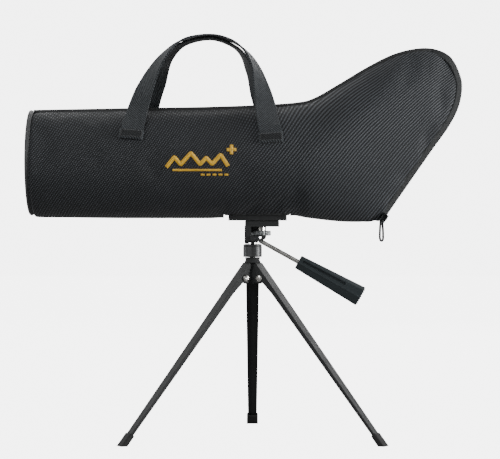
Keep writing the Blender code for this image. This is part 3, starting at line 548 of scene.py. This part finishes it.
def attach(piece, body, slot, *nodes):
    """Rides the piece on a body, and hides the CAD nodes that it stands for. Its slot is not used."""
    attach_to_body(piece, body)
    if nodes:
        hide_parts(*nodes)


# The case

CASE_BOTTOM = 198.8
CASE_LEFT = -196.9
CASE_HALF = 47.8  # half its width, across the tube
TAIL_START = 46.0
FOAM = 3.0
BEAD = 1.0  # the radius of the bound edge along the top
TOP_INSET = 2 * BEAD + 0.6
ZIP_INSET = 3.3
# The slanted edge of the tail, which the zip runs along
EDGE_START = np.array((117.7, 0.0, 195.3))
EDGE_DIRECTION = np.array((0.569, 0.0, 0.8223))
EDGE_OUT = np.array((0.8223, 0.0, -0.569))
# The outline (x, z) over the top and round the tail, and which of its points the zip starts at
RIM = [(-200, 295.2), (-100, 297.0), (-45, 297.9), (5, 299.6), (40, 302.0), (56, 306.2), (79, 319.3),
       (104, 334.2), (128, 345.8), (151, 350.8), (168, 348.8), (180, 341.0), (187, 327.0), (188.8, 315.0),
       (185.8, 298.5), (177.2, 281.0), (162.5, 260.0), (141.7, 230.0)]
CORNER = 11
DISC_Z = 247.6
OPENING_X = (-26.0, 34.0)
OPENING_HALF = 16.0


def rim_path(steps):
    """The outline of the case over its top and round its tail, down to the corner of the zip."""
    points = [(x, 0, z) for x, z in RIM] + [tuple(EDGE_START - 2 * EDGE_DIRECTION)]
    return smooth_path(points, steps)


def inset_rim(top_inset, zip_inset, floor, steps=8):
    """The rim moved in: its top part, and its part along the zip, from the floor up."""
    path = rim_path(steps)
    corner = CORNER * steps
    part = np.clip((np.arange(len(path)) - corner + 2 * steps) / (2 * steps), 0, 1)[:, None]
    moved = path + (top_inset + part * (zip_inset - top_inset)) * inwards(directions(path))
    top, back = moved[: corner + 1], moved[corner:]
    along = (floor - EDGE_START[2] + zip_inset * EDGE_OUT[2]) / EDGE_DIRECTION[2]
    end = EDGE_START + along * EDGE_DIRECTION - zip_inset * EDGE_OUT
    back = np.vstack([back[back[:, 2] > end[2] + 4], end])
    return top, back[::-1]


AROUND = 36  # faces from the top to the bottom on each side
TUBE_STEP = 4.5
TAIL_STEPS = 34
DRAWN_LENGTH = 8.0  # how far along the tube the seam at its end draws it in, and by how much
DRAWN_IN = 2.2
BOTTOM_SAG = 0.8
OPENING_LIFT = 1.7  # how far the foot of the scope lifts the cloth behind the opening
TAIL_SAG = 1.7
EDGE_HALF = 1.0  # half the tail's width at the slanted edge
GAP_HALF = 0.2  # half the gap between the two sides of the case, at its seams


def case_rows():
    """Rows of points round the case, from the near top down under it and up to the far top."""
    edge_floor = EDGE_START[2] - 0.3
    top, back = inset_rim(TOP_INSET, ZIP_INSET, edge_floor)
    angles = np.pi * np.arange(AROUND + 1) / AROUND
    rises = (1 - np.cos(angles)) / 2
    sections = []
    count = round((TAIL_START - CASE_LEFT - DRAWN_LENGTH) / TUBE_STEP)
    stations = np.concatenate([CASE_LEFT + np.array([0.0, 0.6, 1.6, 3.2, 5.4]),
                               np.linspace(CASE_LEFT + DRAWN_LENGTH, TAIL_START, count + 1)])
    for x in stations:
        draw = DRAWN_IN * max(0.0, 1 - (x - CASE_LEFT) / DRAWN_LENGTH) ** 2.2
        high = np.interp(x, top[:, 0], top[:, 2]) - 0.5 * draw
        lift = OPENING_LIFT * math.exp(-(((x - 37.5) / 6.0) ** 2))
        low = CASE_BOTTOM + draw - BOTTOM_SAG * math.exp(-(((x + 75) / 75.0) ** 4))
        z = low + rises * (high - low) + lift * (1 - rises) ** 3
        sections.append(np.stack([0 * z + x, (CASE_HALF - draw) * np.sin(angles), z], axis=1))
    start_top = np.array((TAIL_START, 0, np.interp(TAIL_START, top[:, 0], top[:, 2])))
    start_low = np.array((TAIL_START, 0, CASE_BOTTOM))
    tail_top = np.vstack([start_top, top[top[:, 0] > TAIL_START + 1]])
    middle = np.array((80, 0, (CASE_BOTTOM + edge_floor) / 2 - TAIL_SAG))
    tail_low = smooth_path([start_low, middle, back[0]], 12)
    shares = 1 - (1 - np.arange(1, TAIL_STEPS + 1) / TAIL_STEPS) ** 1.25
    front = start_low + rises[:, None] * (start_top - start_low)
    for share in shares:  # a patch between its four edges: across, and along, less what the two repeat
        across = at_share(tail_low, share)
        across = across + rises[:, None] * (at_share(tail_top, share) - across)
        along = front + share * (at_share(back, rises) - front)
        low = tail_low[0] + share * (tail_low[-1] - tail_low[0])
        high = tail_top[0] + share * (tail_top[-1] - tail_top[0])
        section = across + along - (low + rises[:, None] * (high - low))
        widest = EDGE_HALF + (CASE_HALF - EDGE_HALF) * (1 - share**1.6) ** 0.8
        section[:, 1] = widest * np.sin(angles)
        sections.append(section)
    rows = []
    for section in sections:
        far = section + (0, GAP_HALF, 0)
        far[0, 1] = 0.0
        near = (section * (1, -1, 1) - (0, GAP_HALF, 0))[:0:-1]
        rows.append(np.vstack([near, far]))
    return np.array(rows)


def rib_phase(points):
    """The case's weave: mm across the ribs, mm along them, and how far the floats are parted. Ribs stand
    steeper near the top seam of the tube, bend over along the tail, and are finer towards the disc."""
    x, z = points[:, 0], points[:, 2]
    tail = ease(x, 20, 75)
    steep = (1 - tail) * 0.5 * np.clip(z - 258, 0, None) ** 2 / 80
    bend = ease(x, 46, 120) * 0.75 * np.clip(z - 245, 0, None) ** 2 / 200
    height = z - steep + bend
    fine = 1 + 0.22 * (1 - ease(x, -60, 40))
    height = (height - 250) * fine
    x = np.where(x < -10, 1.22 * (x + 10) - 10, x)
    across = x * math.sin(RIB_SLANT) - height * math.cos(RIB_SLANT)
    along = x * math.cos(RIB_SLANT) + height * math.sin(RIB_SLANT)
    parted = 0.75 - 0.55 * ease(x, -20, 60)
    return np.stack([across, along, parted], axis=1)


CLOTH_FRAMES = 20
CLOTH_PRESSURE = 4.0
PUFF_LIMIT = 1.5  # how far the cloth may move in mm, and near the ends of the handles
PUFF_NEAR_STRAP = 0.25


def puff(piece, held, limit):
    """Cloth under light pressure, held at its seams. No point moves further than its limit, in mm."""
    rest = positions(piece)
    group = piece.vertex_groups.new(name="held")
    for index, weight in enumerate(held):
        group.add([index], float(weight), "REPLACE")
    cloth = piece.modifiers.new("cloth", "CLOTH")
    settings = cloth.settings
    settings.quality = 6
    settings.mass = 0.25
    settings.tension_stiffness = settings.compression_stiffness = 12.0
    settings.shear_stiffness = 6.0
    settings.bending_stiffness = 1.5
    settings.vertex_group_mass = "held"
    settings.shrink_min = -0.012
    settings.use_pressure = True
    settings.uniform_pressure_force = CLOTH_PRESSURE
    settings.effector_weights.gravity = 0.0
    cloth.collision_settings.use_collision = False
    for step in range(1, CLOTH_FRAMES + 1):
        bpy.context.scene.frame_set(step)
    baked(piece)
    bpy.context.scene.frame_set(1)
    moved = positions(piece) - rest
    size = np.linalg.norm(moved, axis=1)
    scale = np.where(size > limit, limit / np.maximum(size, 1e-9), 1.0)
    move_points(piece, rest + moved * scale[:, None])


STRAP_SPOTS = ((-106.0, 272.0), (15.4, 272.0))


def make_case_shell():
    rows = case_rows()
    count, columns, _ = rows.shape
    shell = make_piece("case_shell", rows, grid_faces(count, columns), LOOKS["case_nylon"])
    points = positions(shell)
    i, k = np.divmod(np.arange(len(points)), columns)
    near_opening = ((points[:, 0] > OPENING_X[0] - 5) & (points[:, 0] < OPENING_X[1] + 5)
                    & (np.abs(points[:, 1]) < OPENING_HALF + 4) & (points[:, 2] < 216))
    held = ((k < 2) | (k > columns - 3) | (i < 3) | (i > count - 3) | near_opening).astype(float)
    limit = np.full(len(points), PUFF_LIMIT)
    for x, z in STRAP_SPOTS:
        away = np.hypot(points[:, 0] - x, points[:, 2] - z)
        limit = np.minimum(limit, PUFF_NEAR_STRAP + 1.3 * ease(away, 12, 30))
    puff(shell, held, limit)
    subdivide(shell)
    thickness = shell.vertex_groups.new(name="thickness")
    for index, share in enumerate(1 - 0.85 * ease(positions(shell)[:, 0], 60, 150)):
        thickness.add([index], float(share), "REPLACE")
    solidify = shell.modifiers.new("foam", "SOLIDIFY")
    solidify.thickness = FOAM * MM
    solidify.offset = -1.0
    solidify.vertex_group = "thickness"
    baked(shell)
    cut_opening(shell)
    shell.data.materials.clear()
    shell.data.materials.append(LOOKS["case_nylon"])
    set_weave(shell.data, rib_phase(positions(shell)))
    attach(shell, "tilt_head", "case_nylon", "case_panel_near", "case_panel_far")
    return shell


def cut_opening(shell):
    """Cuts the hole under the case that the foot of the scope comes through."""
    corners = [(x, y, z) for x in OPENING_X for y in (-OPENING_HALF, OPENING_HALF) for z in (190.0, 216.0)]
    sides = [(0, 1, 3, 2), (4, 6, 7, 5), (0, 4, 5, 1), (2, 3, 7, 6), (0, 2, 6, 4), (1, 5, 7, 3)]
    cutter = make_piece("opening_cutter", corners, sides, LOOKS["binding"], smooth=False)
    boolean = shell.modifiers.new("opening", "BOOLEAN")
    boolean.object = cutter
    boolean.solver = "EXACT"
    baked(shell)
    bpy.data.objects.remove(cutter)


DISC_X = -198.0
DISC_RADIUS = 44.1
DISC_SIDES = 72
# The disc's rings, from its crown out to its back: a share of its radius, and mm along x
DISC_RINGS = [(0.0, -3.3), (0.2, -3.28), (0.45, -3.1), (0.7, -2.7), (0.88, -2.1), (0.965, -1.4), (1.0, -0.5),
              (0.99, 0.3)]


def ring_path(x, radius, count=120):
    """A circle round the disc, and at each point its directions along x and outwards."""
    turns = [math.tau * k / count for k in range(count)]
    path = np.array([(x, radius * math.sin(a), DISC_Z + radius * math.cos(a)) for a in turns])
    return path, [(np.array((1.0, 0, 0)), np.array((0, math.sin(a), math.cos(a)))) for a in turns]


def make_end():
    """The padded disc at the objective end, the piping round it, and the tape that covers its seam."""
    points = []
    for share, x in DISC_RINGS[1:]:
        for k in range(DISC_SIDES):
            angle = math.tau * k / DISC_SIDES
            pucker = 0.12 * math.cos(18 * angle) * share**6
            reach = DISC_RADIUS * share
            points.append((DISC_X + x + pucker, reach * math.sin(angle), DISC_Z + reach * math.cos(angle)))
    faces = grid_faces(len(DISC_RINGS) - 1, DISC_SIDES, closed_columns=True)
    centre = len(points)
    last = centre - DISC_SIDES
    points += [(DISC_X + DISC_RINGS[0][1], 0, DISC_Z), (DISC_X + 0.6, 0, DISC_Z)]
    faces += [(centre, (k + 1) % DISC_SIDES, k) for k in range(DISC_SIDES)]
    faces += [(centre + 1, last + k, last + (k + 1) % DISC_SIDES) for k in range(DISC_SIDES)]
    sine, cosine = math.sin(RIB_SLANT), math.cos(RIB_SLANT)
    weave = [(y * sine - z * cosine, y * cosine + z * sine, 0.7) for x, y, z in points]
    disc = subdivide(make_piece("end_disc_pad", points, faces, LOOKS["case_nylon"], weave))
    attach(disc, "tilt_head", "case_nylon", "end_disc")

    path, frames = ring_path(-198.7, 45.9)
    piping = swept("end_piping_cord", path, frames, round_profile(1.5, 10), LIT_END_BINDING, closed=True)
    attach(piping, "tilt_head", "binding", "end_piping")
    path, frames = ring_path(-197.0, 45.6)
    profile = [(-1.3, -1.6), (-1.3, 0.5), (0.1, 0.9), (0.9, 0.3), (0.9, -1.6)]
    seam = swept("end_seam_tape", path, frames, profile, LIT_END_BINDING, closed=True)
    attach(seam, "tilt_head", "binding")


def make_top_piping():
    """The bound edge along the top of the case, up to where the zip starts."""
    top, _ = inset_rim(BEAD, BEAD, EDGE_START[2])
    top[0] = (CASE_LEFT + 0.1, 0, top[0][2])
    top = top[top[:, 0] >= CASE_LEFT]
    frames = [(SIDE, toward) for toward in inwards(directions(top))]
    profile = [(-2.2, 2.3), (-2.0, 1.0), (-1.0, -0.2), (-0.95, -0.75), (-0.5, -1.0), (0.5, -1.0),
               (0.95, -0.75), (1.0, -0.2), (2.0, 1.0), (2.2, 2.3)]
    piping = swept("top_binding", top, frames, profile, LOOKS["binding"])
    attach(piping, "tilt_head", "binding", "top_piping")


COIL_PITCH = 1.5
COIL_STEPS = 10  # points in each turn


def zip_path():
    """Points down the zip, and its inward directions, from the crown of the tail to the bottom corner."""
    steps = 16
    path = rim_path(steps)
    place_on_rim = np.arange(len(path))
    keep = (place_on_rim > (CORNER - 1.4) * steps) & (place_on_rim < len(path) - 1)
    keep &= path[:, 2] > EDGE_START[2] + 1
    return path[keep], inwards(directions(path))[keep]


def make_zip():
    """The zip's two tapes, and the coil between them."""
    path, inward = zip_path()
    profile = [(0.45, -0.5), (1.2, -0.75), (2.3, -2.4), (3.3, -4.4), (4.2, -5.4), (3.9, -6.3), (2.6, -5.4),
               (1.6, -3.4), (0.5, -1.7)]
    for name, sign, nodes in (("near", -1, ["zipper_chain"]), ("far", 1, [])):
        frames = [(sign * SIDE, -toward) for toward in inward]
        tape = swept("zip_tape_" + name, path, frames, profile, LOOKS["zip_plastic"])
        attach(tape, "tilt_head", "zip_plastic", *nodes)
    length = lengths_of(path)[-1]
    turns = np.arange(int(length / COIL_PITCH) * COIL_STEPS) / COIL_STEPS
    shares = turns * COIL_PITCH / length
    angle = (turns * math.tau)[:, None]
    coil = (at_share(path, shares) + at_share(inward, shares) * (1.0 - 0.62 * np.cos(angle))
            + SIDE * 0.95 * np.sin(angle))
    frames = []
    for way in directions(coil):
        across = np.cross(way, SIDE)
        across /= np.linalg.norm(across)
        frames.append((across, np.cross(way, across)))
    coil = swept("zip_coil", coil, frames, round_profile(0.33, 5), LOOKS["zip_plastic"])
    attach(coil, "tilt_head", "zip_plastic")


def make_opening_trim():
    """Bound edge round the opening that the foot of the scope comes through."""
    half_x, half_y, corner, level = 28.2, 14.2, 4.0, 202.3
    middle = (OPENING_X[0] + OPENING_X[1]) / 2
    outline = []
    for cx, cy, start in ((1, 1, 0), (-1, 1, 90), (-1, -1, 180), (1, -1, 270)):
        for k in range(7):
            angle = math.radians(start + 15 * k)
            outline.append((middle + cx * (half_x - corner) + corner * math.cos(angle),
                            cy * (half_y - corner) + corner * math.sin(angle), level))
    path = np.array(outline)
    up = np.array((0, 0, 1.0))
    frames = [(np.cross(way, up), up) for way in directions(path, closed=True)]
    profile = [(-0.9, -1.9), (0.9, -2.0), (1.5, -0.6), (1.5, 1.4), (0.6, 2.3), (-0.6, 2.3), (-1.2, 1.2),
               (-1.2, -1.0)]
    trim = subdivide(swept("opening_trim", path, frames, profile, LOOKS["binding"], closed=True))
    attach(trim, "tilt_head", "binding", "opening_binding")


# The webbing handles

STRAP_WIDTH = 20.0
STRAP_THICK = 1.8
# The far handle's centre line: (x, z) where it is sewn on, on the skin of the tube, and (x, y, z) between
STRAP_LOW = [(-107.0, 267.5), (-106.0, 275.0), (-104.5, 281.5)]
STRAP_RISE = [(-100.6, 18.5, 300.0), (-94.4, 15.5, 317.0), (-87.2, 13.0, 332.0), (-76.8, 11.5, 346.2)]
STRAP_TOP = [(-62.5, 8.0, 357.6), (-39.0, 2.0, 361.8), (-19.0, 8.0, 356.8)]
STRAP_FALL = [(-5.2, 11.5, 346.2), (3.2, 13.0, 332.0), (7.2, 15.5, 318.0), (10.6, 20.5, 302.5)]
STRAP_END = [(13.8, 281.5), (15.4, 275.0), (16.4, 264.5)]
FOLD_LENGTH = 9.6
STITCH_ENDS = 1.5  # how far the box of stitches is inside the fold, along the strap and across it
STITCH_SIDES = 1.6
STITCH_PITCH = 2.0
STITCH_SHARE = 0.72  # the visible part of each stitch
THREAD_RADIUS = 0.32


def tube_point(x, z, lift):
    """A point on the far side of the tube of the case, lifted off its skin."""
    top, _ = inset_rim(TOP_INSET, ZIP_INSET, EDGE_START[2])
    rise = (np.interp(x, top[:, 0], top[:, 2]) - CASE_BOTTOM) / 2
    level = (z - CASE_BOTTOM - rise) / rise
    y = CASE_HALF * math.sqrt(1 - level**2)
    normal = np.array((0, y / CASE_HALF**2, level / rise))
    return np.array((x, GAP_HALF + y, z)) + lift * normal / np.linalg.norm(normal)


def strap_frames(drop, lean):
    """The centre line of a handle, on the far side, and its directions: across it, and out of it. It stands
    lower by drop along its top, and leans along x by lean on its way up."""
    lift = STRAP_THICK / 2 + 0.6
    points = [tube_point(x, z, lift) for x, z in STRAP_LOW]
    points += [np.array(point) for point in STRAP_RISE + STRAP_TOP + STRAP_FALL]
    points += [tube_point(x, z, lift) for x, z in STRAP_END]
    path = smooth_path(points, 8)
    way = directions(path)
    share = np.arange(len(path)) / (len(path) - 1)
    turn = math.pi / 2 * (1 + ease(share, 0.09, 0.57) ** 0.6 - ease(1 - share, 0.09, 0.48) ** 0.6)
    wide = np.stack([np.cos(turn), np.sin(turn), 0 * turn], axis=1)
    wide -= (wide * way).sum(1, keepdims=True) * way
    wide /= np.linalg.norm(wide, axis=1, keepdims=True)
    out = np.cross(way, wide)
    centre = path - (drop * ease(share, 0.22, 0.34) * (1 - ease(share, 0.66, 0.78)))[:, None] * out
    centre[:, 0] += lean * ease(share, 0.06, 0.16) * (1 - ease(share, 0.25, 0.40))
    centre[:, 0] -= 0.5 * lean * ease(share, 0.58, 0.68) * (1 - ease(share, 0.76, 0.86))
    return centre, wide, out


# Half of the webbing's section, as shares of its half width and half thickness: thick edges, and a flat middle
HALF_WEBBING = [(-1.0, 0.0), (-0.985, -0.75), (-0.93, -1.0), (-0.84, -0.86), (-0.42, -0.9), (0.0, -0.92),
                (0.42, -0.9), (0.84, -0.86), (0.93, -1.0), (0.985, -0.75)]
WEBBING_PROFILE = HALF_WEBBING + [(-a, -b) for a, b in HALF_WEBBING]


def make_strap(name, side, drop, lean, node):
    """A handle of webbing, on the near side (-1) or the far one (1), with its two sewn ends."""
    flip = np.array((1, side, 1))
    centre, wide, out = strap_frames(drop, lean)
    frames = [(w * flip, o * flip) for w, o in zip(wide, out)]
    profile = [(a * STRAP_WIDTH / 2, b * STRAP_THICK / 2) for a, b in WEBBING_PROFILE]
    strap = swept(name, centre * flip, frames, profile, LOOKS["webbing"])
    attach(strap, "tilt_head", "webbing", node)
    for end, index, sign in (("front", 0, 1), ("back", -1, -1)):
        along = sign * directions(centre)[index]
        outward = -out[index] if out[index][1] < 0 else out[index]
        across = wide[index] * np.sign(wide[index][0])
        make_strap_end(f"{name}_{end}", flip, centre[index] - 0.9 * along, along, across, outward)


def make_strap_end(name, flip, start, along, across, outward):
    """The folded end of a handle, sewn down with a box of stitches."""
    long, half = FOLD_LENGTH, STRAP_WIDTH / 2 + 0.7

    def near_line(u, v, inset, width):
        """Near 1 where a place on the fold is that far inside its edges, in mm."""
        rooms = (min(u, 1 - u) * long, (1 - abs(v)) * half)
        return min(1.0, sum(math.exp(-(((room - inset) / width) ** 2)) for room in rooms))

    points, weave = [], []
    rows, columns = 9, 13
    for i in range(rows):
        for k in range(columns):
            u, v = i / (rows - 1), 2 * k / (columns - 1) - 1
            edge = min(1.0, 6 * min(u, 1 - u), 5 * (1 - abs(v)))
            height = 0.5 + 1.25 * math.sqrt(edge) - 0.35 * near_line(u, v, STITCH_SIDES, 0.6) * (edge > 0.2)
            point = start + u * long * along + v * half * across + height * outward
            points.append(point * flip)
            # The third number paints shade over the sewn fold and a highlight along its rounded edges
            weave.append((v * half, u * long, -0.75 + 1.5 * near_line(u, v, 0.5, 0.8)))
    faces = grid_faces(rows, columns)
    rim = close_back(points, faces, rows, columns, -1.9 * outward * flip)
    weave += [weave[k] for k in rim]
    patch = make_piece(name + "_fold", points, faces, LOOKS["webbing"], weave)
    attach(patch, "tilt_head", "webbing")

    box = [start + u * along + v * (half - STITCH_SIDES) * across + 1.55 * outward
           for u, v in ((STITCH_ENDS, -1), (STITCH_ENDS, 1), (long - STITCH_ENDS, 1), (long - STITCH_ENDS, -1))]
    stitches = [stitch for a, b in zip(box, box[1:] + box[:1]) for stitch in stitch_line(a * flip, b * flip)]
    seam = make_stitches(name + "_stitches", stitches, outward * flip)
    attach(seam, "tilt_head", "webbing")


def stitch_line(a, b):
    """The ends of each stitch from a to b."""
    count = max(1, round(np.linalg.norm(b - a) / STITCH_PITCH))
    step = (b - a) / count
    gap = (1 - STITCH_SHARE) / 2
    return [(a + (k + gap) * step, a + (k + 1 - gap) * step) for k in range(count)]


def make_stitches(name, stitches, out):
    """Short threads, each a spindle that dips into the cloth at its ends."""
    points, faces, weave = [], [], []
    sides = 6
    rings = ((0.0, 0.35), (0.12, 0.8), (0.5, 1.0), (0.88, 0.8), (1.0, 0.35))
    for a, b in stitches:
        way = (b - a) / np.linalg.norm(b - a)
        across = np.cross(way, out)
        across /= np.linalg.norm(across)
        up = np.cross(across, way)
        first = len(points)
        for share, scale in rings:
            centre = a + share * (b - a) - up * (1 - scale) * 0.5
            for x, y in round_profile(THREAD_RADIUS * scale, sides):
                points.append(centre + x * across + y * up)
                weave.append((0, share * np.linalg.norm(b - a), 0))
        end = len(points) - sides
        faces += [tuple(first + index for index in face) for face in grid_faces(len(rings), sides, False, True)]
        faces += [tuple(first + k for k in range(sides))[::-1], tuple(end + k for k in range(sides))]
    return make_piece(name, points, faces, THREAD, weave)


# The emblem

def skin_of(shell):
    """Finds the point of the case's near skin at a place on its side view, in mm."""
    tree = BVHTree.FromPolygons([tuple(point) for point in positions(shell)],
                                [tuple(face.vertices) for face in shell.data.polygons])

    def find(x, z):
        hit, normal, _, _ = tree.ray_cast(Vector((x, -200.0, z)), Vector((0, 1, 0)))
        normal = normal if normal.y < 0 else -normal
        return np.array(hit), np.array(normal)

    return find


def make_emblem_stroke(name, find, path, half, raised=0.55):
    """A satin-stitched band along points (x, z) of the side view, thicker in its middle."""
    path = np.array([(x, 0, z) for x, z in path], float)
    path = at_share(path, np.linspace(0, 1, max(8, int(lengths_of(path)[-1] / 0.8))))
    points = []
    columns = 7
    for centre, across in zip(path, -inwards(directions(path))):
        for k in range(columns):
            v = 2 * k / (columns - 1) - 1
            spot = centre + v * half * across
            skin, normal = find(spot[0], spot[2])
            points.append(skin + normal * (0.08 + raised * math.sqrt(max(0.0, 1 - v * v * 0.98))))
    faces = grid_faces(len(path), columns)
    close_back(points, faces, len(path), columns, np.array((0, 0.6, 0)))
    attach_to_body(make_piece(name, points, faces, GOLD), "tilt_head")


EMBLEM_RIDGE = [(-75.5, 242.0), (-68.5, 251.0), (-63.0, 244.4), (-54.0, 254.6), (-46.0, 244.6), (-40.5, 250.4),
                (-35.5, 244.8), (-28.0, 253.0), (-21.5, 243.0)]
EMBLEM_BASE = [(-70.0, 239.6), (-27.0, 239.6)]
EMBLEM_DASHES = [-45.5 + 5.2 * k for k in range(5)]
EMBLEM_PLUS = (-18.5, 257.5)


def make_emblem(shell):
    """A generic embroidered mark where the photograph has a maker's: a ridge of hills over a line, a row of
    dashes, and a small plus."""
    find = skin_of(shell)
    make_emblem_stroke("emblem_ridge", find, EMBLEM_RIDGE, 1.75)
    make_emblem_stroke("emblem_base", find, EMBLEM_BASE, 1.0)
    for index, x in enumerate(EMBLEM_DASHES):
        make_emblem_stroke(f"emblem_dash_{index + 1}", find, [(x, 235.6), (x + 3.4, 235.6)], 0.85, 0.4)
    x, z = EMBLEM_PLUS
    for index, (dx, dz) in enumerate(((4.2, 0), (0, 4.2))):
        make_emblem_stroke(f"emblem_star_{index + 1}", find, [(x - dx, z - dz), (x, z), (x + dx, z + dz)], 1.5)


# The grip of the pan handle

GRIP_SLOPE = math.radians(29)
GRIP_AXIS = np.array((math.cos(GRIP_SLOPE), 0.0, -math.sin(GRIP_SLOPE)))
GRIP_UP = np.array((math.sin(GRIP_SLOPE), 0.0, math.cos(GRIP_SLOPE)))
GRIP_ROOT = np.array((11.7, 0.0, 174.8)) + 33.6 * GRIP_AXIS
GRIP_LENGTH = 64.0
# Its half height and half depth at distances from its root
GRIP_SIZES = [(0.0, 5.9, 4.6), (0.6, 6.45, 5.2), (GRIP_LENGTH - 0.8, 9.15, 7.2), (GRIP_LENGTH, 8.7, 6.8)]
GRIP_STATIONS = [0, 0.2, 0.6, 2.0, 3.2, 3.6, 4.2, 4.6, 12, 22, 32, 42, 45.6, 46.2, 46.8, 47.2, 52, 61.5, 63.2,
                 63.7, 64.0]
# Where the groove down each side starts and ends
GROOVE = (3.2, 4.6, 45.6, 47.2)
GROOVE_DEEP = 1.8
# One side of the grip's section, as shares of its half depth and half height, and whether the groove cuts it
GRIP_SIDE = [(0.0, 1.0, 0), (0.42, 1.0, 0), (0.52, 0.97, 0), (0.93, 0.72, 0), (1.0, 0.64, 0), (1.0, 0.50, 0),
             (1.0, 0.45, 1), (1.0, 0.28, 1), (1.0, 0.23, 0), (1.0, 0.02, 0), (1.02, -0.10, 0), (1.02, -0.17, 0),
             (0.97, -0.23, 0), (0.60, -0.92, 0), (0.50, -1.0, 0)]
END_RIBS = 7


def make_grip():
    """A tapered grip with a long groove down each side, and a ribbed end."""
    outline = GRIP_SIDE + [(-a, b, groove) for a, b, groove in GRIP_SIDE[:0:-1]]
    distances, talls, deeps = zip(*GRIP_SIZES)
    points = []
    for distance in GRIP_STATIONS:
        tall, deep = np.interp(distance, distances, talls), np.interp(distance, distances, deeps)
        cut = GROOVE_DEEP * ease(distance, *GROOVE[:2]) * (1 - ease(distance, *GROOVE[2:]))
        for a, b, groove in outline:
            reach = a * deep - math.copysign(cut * groove, a)
            points.append(GRIP_ROOT + distance * GRIP_AXIS + reach * SIDE + b * tall * GRIP_UP)
    columns = len(outline)
    faces = grid_faces(len(GRIP_STATIONS), columns, closed_columns=True)
    faces += [tuple(range(columns))[::-1], tuple(range(len(points) - columns, len(points)))]
    grip = make_piece("grip_body", points, faces, LOOKS["grip_plastic"], smooth=False)
    attach(grip, "handle", "grip_plastic", "handle_grip")
    end = GRIP_ROOT + (GRIP_LENGTH - 0.1) * GRIP_AXIS
    for index in range(END_RIBS):
        height = 2.2 * (index - (END_RIBS - 1) / 2)
        half = 5.2 - 0.12 * abs(height)
        reaches = (-half - 0.4, -half, half, half + 0.4)
        path = np.array([end + height * GRIP_UP + reach * SIDE for reach in reaches])
        frames = [(GRIP_AXIS * scale, GRIP_UP * scale) for scale in (0.3, 1.0, 1.0, 0.3)]
        rib = swept(f"grip_end_rib_{index + 1}", path, frames, round_profile(0.75, 10), LOOKS["grip_plastic"])
        attach(rib, "handle", "grip_plastic")


# The zip pull

PULL_LOOP = [(0.9, 0.0), (1.0, -3.0), (1.4, -9.0), (1.5, -15.0), (1.25, -17.2), (0.3, -18.3), (-0.7, -17.9),
             (-1.35, -16.2), (-1.45, -13.0), (-1.25, -7.0), (-0.9, -2.5), (-0.8, 0.6), (0.0, 1.4)]


def make_wire(name, path, profile):
    """A closed loop of dark wire along a path whose plane faces the camera."""
    frames = [(SIDE, np.cross(way, SIDE)) for way in directions(path, closed=True)]
    return swept(name, path, frames, profile, DARK_WIRE, closed=True)


def make_pull():
    """A wire ring at the slider, and a long flat loop hung from it."""
    eye = EDGE_START - 0.8 * EDGE_DIRECTION - 2.0 * EDGE_OUT + (0, -5.15, 0)
    path = np.array([eye + (x, 0, z) for x, z in PULL_LOOP + PULL_LOOP[:1]])
    pull = make_wire("pull_loop", smooth_path(path, 6)[:-1], round_profile(0.6, 10, 1.75))
    attach(pull, "zip_pull", "steel", "zipper_pull")

    turns = [math.tau * k / 28 for k in range(28)]
    centre = EDGE_START + 2.6 * EDGE_DIRECTION - 1.2 * EDGE_OUT + (0, -4.9, 0)
    path = np.array([centre + 3.2 * math.cos(a) * EDGE_DIRECTION + 2.1 * math.sin(a) * EDGE_OUT for a in turns])
    attach(make_wire("slider_ring", path, round_profile(0.7, 8)), "zip_slider", "steel")


# The neck between the hub and the collar, as (radius, height)
NECK = [(3.2, 162.6), (6.5, 162.6), (6.8, 162.3), (6.8, 161.6), (6.4, 161.0), (6.4, 159.9), (7.0, 159.3),
        (7.3, 158.4), (7.0, 157.4), (3.2, 157.0)]


def make_neck():
    sides = 48
    points = []
    for k in range(sides):
        angle = math.tau * k / sides
        points += [(radius * math.cos(angle), radius * math.sin(angle), z) for radius, z in NECK]
    faces = grid_faces(sides, len(NECK), closed_rows=True, closed_columns=True)
    attach(make_piece("hub_neck", points, faces, LOOKS["black_paint"]), "stand", "black_paint")


make_camera()
make_studio()
dress_cad_nodes()
case_shell = make_case_shell()
make_end()
make_top_piping()
make_zip()
make_opening_trim()
make_strap("handle_near", -1, 0.0, 0.0, "strap_near")
make_strap("handle_far", 1, STRAP_THICK + 0.35, 6.6, "strap_far")
make_emblem(case_shell)
make_grip()
make_pull()
make_neck()
